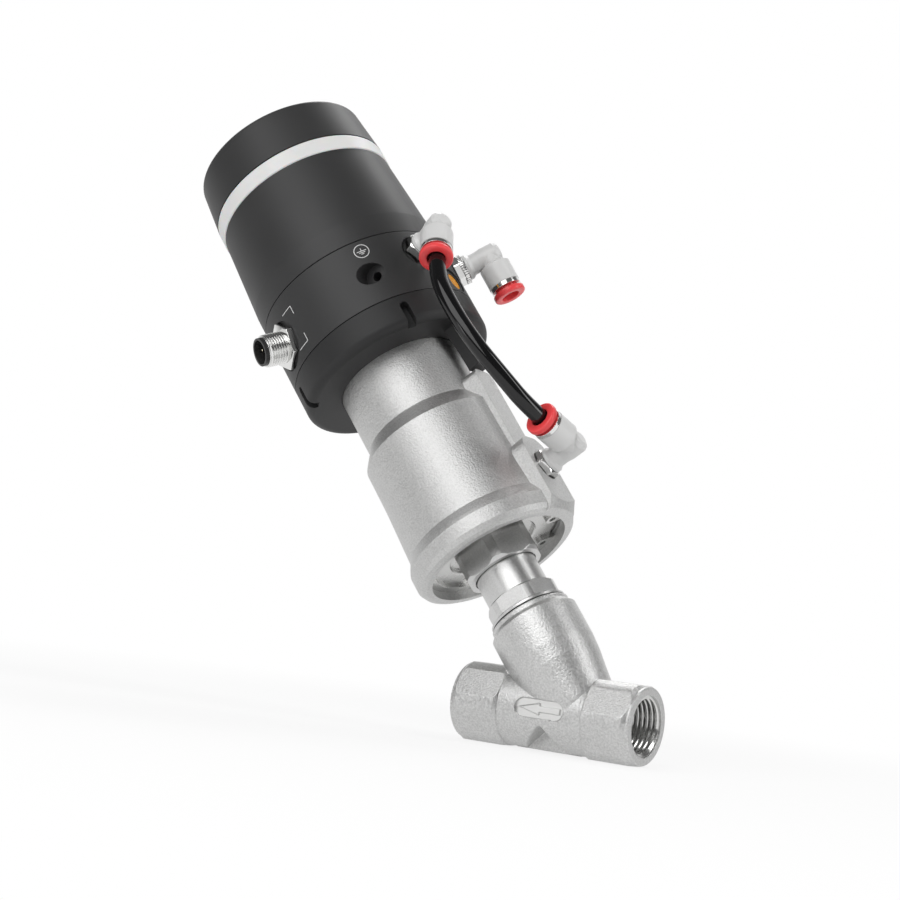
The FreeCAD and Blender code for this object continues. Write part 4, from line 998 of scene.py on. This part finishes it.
@dataclass
class ValveBody(Assembly):
    """The threads cut in the cast body's two ports, from just inside the face."""

    thread: Thread = Thread(root=10.40, crest=9.35, wall=10.55, pitch=1.814, flank=0.42, steps=72)
    start: float = 0.7
    depth: float = 13.4

    def build(self) -> None:
        """Cuts the threads of both ports, wound inwards from the face."""
        outlet = Matrix.Translation((-INLET_REACH - OUTLET_REACH, 0, 0))
        for name, inwards in (("inlet_thread", turned(-90, "Y")),
                              ("outlet_thread", outlet @ turned(90, "Y"))):
            sleeve = self.thread.sleeve(0.0, self.depth, self.start, self.depth)
            self.shop.settle(sleeve.place(name, inwards), "thread_steel", Body.VALVE, Slot.TURNED)


@dataclass
class Actuator(Assembly):
    """The closing spring inside the casing; wire and coil are radii."""

    wire: float = 1.6
    coil: float = 17.6
    foot: float = 95.1
    roof: float = 150.0
    turns: int = 6
    stroke: float = 10.0
    steps: int = 40
    wire_steps: int = 12

    def build(self) -> None:
        """Winds the closing spring."""
        low = self.foot + self.wire
        rise = self.roof - self.wire - low
        turns = [math.tau * step / self.wire_steps for step in range(self.wire_steps)]
        corners = [(self.coil + self.wire * math.cos(turn), low + self.wire * math.sin(turn))
                   for turn in turns]
        shape = Shape().helix(corners, rise / self.turns, self.turns, self.steps, True)
        matrix = actuator_frame()
        spring = shape.place("closing_spring", matrix)
        self.shop.settle(spring, "spring_steel", Body.ACTUATOR, Slot.SPRING,
                         ["actuator_spring"])
        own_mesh(spring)


@dataclass
class ControlHead(Assembly):
    """The signs printed on the black head: an earth sign and two open corners."""

    proud: float = 0.04
    stroke: float = 0.28
    sign_angle: float = -50.8
    sign_height: float = 180.4
    sign_r: float = 2.85
    sign_steps: int = 48
    sign_stem: Pair = (-1.25, 0.0)
    sign_bars: tuple[Pair, ...] = ((-0.05, 3.7), (0.60, 2.4), (1.20, 1.1))
    mark_angle: float = -104.0
    mark_heights: Pair = (178.4, 162.7)
    mark_arm: float = 5.8
    short_arm: float = 0.6
    cuts: int = 2

    def wrapped(self, point: Vector) -> Vector:
        """Bends a flat sign onto the head's side.

        Args:
            point: x down the axis, y round it and z away from it.

        Returns:
            The bent point, in the frame of the sign's middle.
        """
        turn = point.y / HEAD_R
        radius = HEAD_R + point.z
        return Vector((point.x, radius * math.sin(turn), radius * math.cos(turn) - HEAD_R))

    def print_on(self, name: str, shape: Shape, angle: float, height: float) -> None:
        """Bends a flat sign onto the head and paints it white.

        Args:
            name: the piece's name.
            shape: the flat sign.
            angle: its direction about the head's axis, in degrees.
            height: its height along that axis.
        """
        bmesh.ops.subdivide_edges(shape.mesh, edges=shape.mesh.edges, cuts=self.cuts,
                                  use_grid_fill=True)
        piece = shape.moved(self.wrapped).place(name, radial_frame(angle, height, HEAD_R))
        self.shop.settle(piece, "print_white", Body.ACTUATOR)

    def bar(self, shape: Shape, place: Pair, size: Pair) -> None:
        """Adds a flat bar to a sign, its place and size down the axis and round it."""
        shape.box((*place, self.proud / 2), (*size, self.proud))

    def earth_sign(self) -> Shape:
        """The plain earth sign: a ring, a short stem and three bars, each shorter than the last."""
        shape = Shape().ring(self.sign_r - self.stroke, self.sign_r, 0, self.proud, self.sign_steps)
        high, low = self.sign_stem
        self.bar(shape, ((high + low) / 2, 0), (low - high, self.stroke))
        for place, length in self.sign_bars:
            self.bar(shape, (place, 0), (self.stroke, length))
        return shape

    def corner_mark(self, down: int) -> Shape:
        """An open corner with two arms, either side of the plug connector.

        Args:
            down: 1 when its short arm points down the axis, else -1.

        Returns:
            The flat mark.
        """
        half, short = self.mark_arm / 2, self.short_arm
        shape = Shape()
        self.bar(shape, (0, -half), (self.stroke, self.mark_arm))
        self.bar(shape, (down * half * short, 0), (self.mark_arm * short, self.stroke))
        return shape

    def build(self) -> None:
        """Prints the signs."""
        self.print_on("earth_sign", self.earth_sign(), self.sign_angle, self.sign_height)
        for name, height, down in zip(("upper_mark", "lower_mark"), self.mark_heights, (1, -1)):
            self.print_on(name, self.corner_mark(down), self.mark_angle, height)


@dataclass
class PlugConnector(Assembly):
    """The plated shell of the round plug connector; its sleeve's wall is its bore."""

    angle: float = HEAD_TURN - 130.0
    height: float = 170.0
    sink: float = 1.2
    neck_r: float = 7.0
    neck_length: float = 8.5
    neck_overlap: float = 0.1
    flange_corner: float = 9.04
    flange_height: float = 2.6
    flange_turn: float = 12.0
    flange_bevel: float = 0.35
    thread: Thread = Thread(root=5.42, crest=6.0, wall=5.22, pitch=1.0, flank=0.40, steps=64)
    thread_overlap: float = 0.05
    length: float = 10.2
    lip_height: float = 0.4
    lip_chamfer: float = 0.15

    def lip(self) -> Shape:
        """The plain lip at the sleeve's mouth, its outer edge chamfered."""
        bore, outer, foot = self.thread.wall, self.thread.root, self.length - self.lip_height
        return Shape().lathe([(bore, foot), (outer, foot),
                              (outer, self.length - self.lip_chamfer),
                              (outer - self.lip_chamfer, self.length), (bore, self.length)])

    def build(self) -> None:
        """Makes the shell in four pieces: neck, hexagonal flange, threaded sleeve and lip."""
        low, end = self.flange_height, self.length - self.lip_height
        neck = Shape().ring(self.thread.wall, self.neck_r, -self.neck_length, self.neck_overlap)
        flange = Shape().hexagon(self.flange_corner, low, self.flange_turn, self.flange_bevel)
        sleeve = self.thread.sleeve(low, self.length, low - self.thread_overlap, end)
        matrix = radial_frame(self.angle, self.height, HEAD_R - self.sink)
        for name, shape, replaces in (("connector_neck", neck, ["connector_shell"]),
                                      ("connector_flange", flange, []),
                                      ("connector_thread", sleeve, []),
                                      ("connector_lip", self.lip(), [])):
            self.shop.settle(shape.place(name, matrix), "plated_brass", Body.ACTUATOR,
                             Slot.PLATED, replaces)


@dataclass
class PushInElbows(Assembly):
    """The three push-in elbows: release rings, the supply stem's knurl, the air port's land.

    Each rounding is a row of (across, along) steps from its corner.
    """

    reach: float = 17.8
    ring_length: float = 7.5
    ring_r: float = 6.1
    ring_tube_r: float = 4.3
    ring_bore_r: float = 3.3
    ring_steps: int = 72
    flange: float = 2.2
    back_round: tuple[Pair, ...] = ((0.35, 0.0), (0.12, 0.1), (0.0, 0.35))
    front_round: tuple[Pair, ...] = ((0.0, 0.6), (0.08, 0.33), (0.3, 0.12), (0.6, 0.0))
    mouth_round: tuple[Pair, ...] = ((0.35, 0.0), (0.1, 0.1), (0.0, 0.35))
    band_low: float = 2.3
    band_high: float = 4.05
    band_r: float = 5.75
    ridge: float = 0.62
    ridge_depth: float = 0.40
    ridge_bevel: float = 0.08
    ridge_count: int = 40
    core_depth: float = 0.36
    core_wall: float = 1.0
    core_steps: int = 80
    spot_face_r: float = 6.6
    hexagon_r: float = 5.80
    land_low: float = -0.98
    land_high: float = 1.88
    land_gap: float = 0.05

    def release_ring(self) -> Shape:
        """A release ring with a rounded rim and a flat face, its Z out of the arm."""
        face, outer, bore = self.reach, self.ring_r, self.ring_bore_r
        back, tail = face - self.flange, face - self.ring_length
        corners = [(bore, tail), (self.ring_tube_r, tail), (self.ring_tube_r, back)]
        corners += [(outer - across, back + along) for across, along in self.back_round]
        corners += [(outer - across, face - along) for across, along in self.front_round]
        corners += [(bore + across, face - along) for across, along in self.mouth_round]
        return Shape().lathe(corners, self.ring_steps)

    def knurl(self) -> None:
        """Makes the supply stem's knurled band: plated ridges on a core whose dark finish is
        painted shade in the grooves.
        """
        matrix = ELBOWS["supply"].stem_frame()
        middle = (self.band_low + self.band_high) / 2
        size = (self.ridge_depth, self.ridge, self.band_high - self.band_low)
        ridges = Shape().box((self.band_r - self.ridge_depth / 2, 0, middle), size,
                             self.ridge_bevel)
        band = ridges.around(self.ridge_count).place("knurled_band", matrix)
        self.shop.settle(band, "plated_brass", Body.ACTUATOR, Slot.PLATED)
        # The core takes the dark spring-wire finish as painted shade between the ridges.
        core_r = self.band_r - self.core_depth
        core = Shape().ring(core_r - self.core_wall, core_r, self.band_low, self.band_high,
                            self.core_steps)
        self.shop.settle(core.place("knurl_core_painted_shade", matrix), "spring_steel", Body.ACTUATOR,
                         Slot.PLATED)

    def build(self) -> None:
        """Makes the rings, the knurled band and the land round the air port's hexagon."""
        for port, node, body in (("head_port", "head_port_ring", Body.HEAD_RING),
                                 ("air_port", "air_port_ring", Body.CASING_RING),
                                 ("supply", "supply_ring", Body.SUPPLY_RING)):
            ring = self.release_ring().place(port + "_release", ELBOWS[port].arm_frame())
            self.shop.settle(ring, "ring_red", body, Slot.RING, [node])
        self.knurl()
        land = Shape().ring(self.hexagon_r, self.spot_face_r - self.land_gap, self.land_low,
                            self.land_high)
        piece = land.place("air_port_land", ELBOWS["air_port"].stem_frame())
        self.shop.settle(piece, "cast_steel", Body.ACTUATOR, Slot.CAST)


@dataclass
class Silencer(Assembly):
    """The black rim that holds the exhaust silencer in the head."""

    height: float = 164.2
    sink: float = 1.6
    plug_r: float = 4.05
    mouth_r: float = 3.45
    rim_r: float = 5.05
    foot: float = 0.02
    face: float = 0.72
    top: float = 0.95

    def build(self) -> None:
        """Makes the rim."""
        rim = Shape().lathe([(self.plug_r, self.foot), (self.rim_r, self.foot),
                             (self.rim_r, self.top), (self.mouth_r, self.top),
                             (self.mouth_r, self.face), (self.plug_r, self.face)])
        matrix = radial_frame(HEAD_TURN, self.height, HEAD_R - self.sink)
        piece = rim.place("silencer_rim", matrix)
        self.shop.settle(piece, "inner_plastic", Body.ACTUATOR, Slot.INNER)


def main() -> None:
    """Builds the studio, paints the CAD nodes and then builds every sub-assembly in order."""
    logging.basicConfig(level=logging.INFO, format="%(name)s: %(message)s")
    Studio().build()
    shop = Workshop()
    for part in frame["record"]["subparts"]:
        finish = NODE_FINISHES.get(part["node"], part["material_slot"])
        shop.paint(frame["nodes"][part["node"]], finish)
    for kind in (AirTube, ValveBody, Actuator, ControlHead, PlugConnector, PushInElbows,
                 Silencer):
        kind(shop).build()
        LOG.info("finished %s", kind.__name__)


if __name__ == "__main__":
    main()
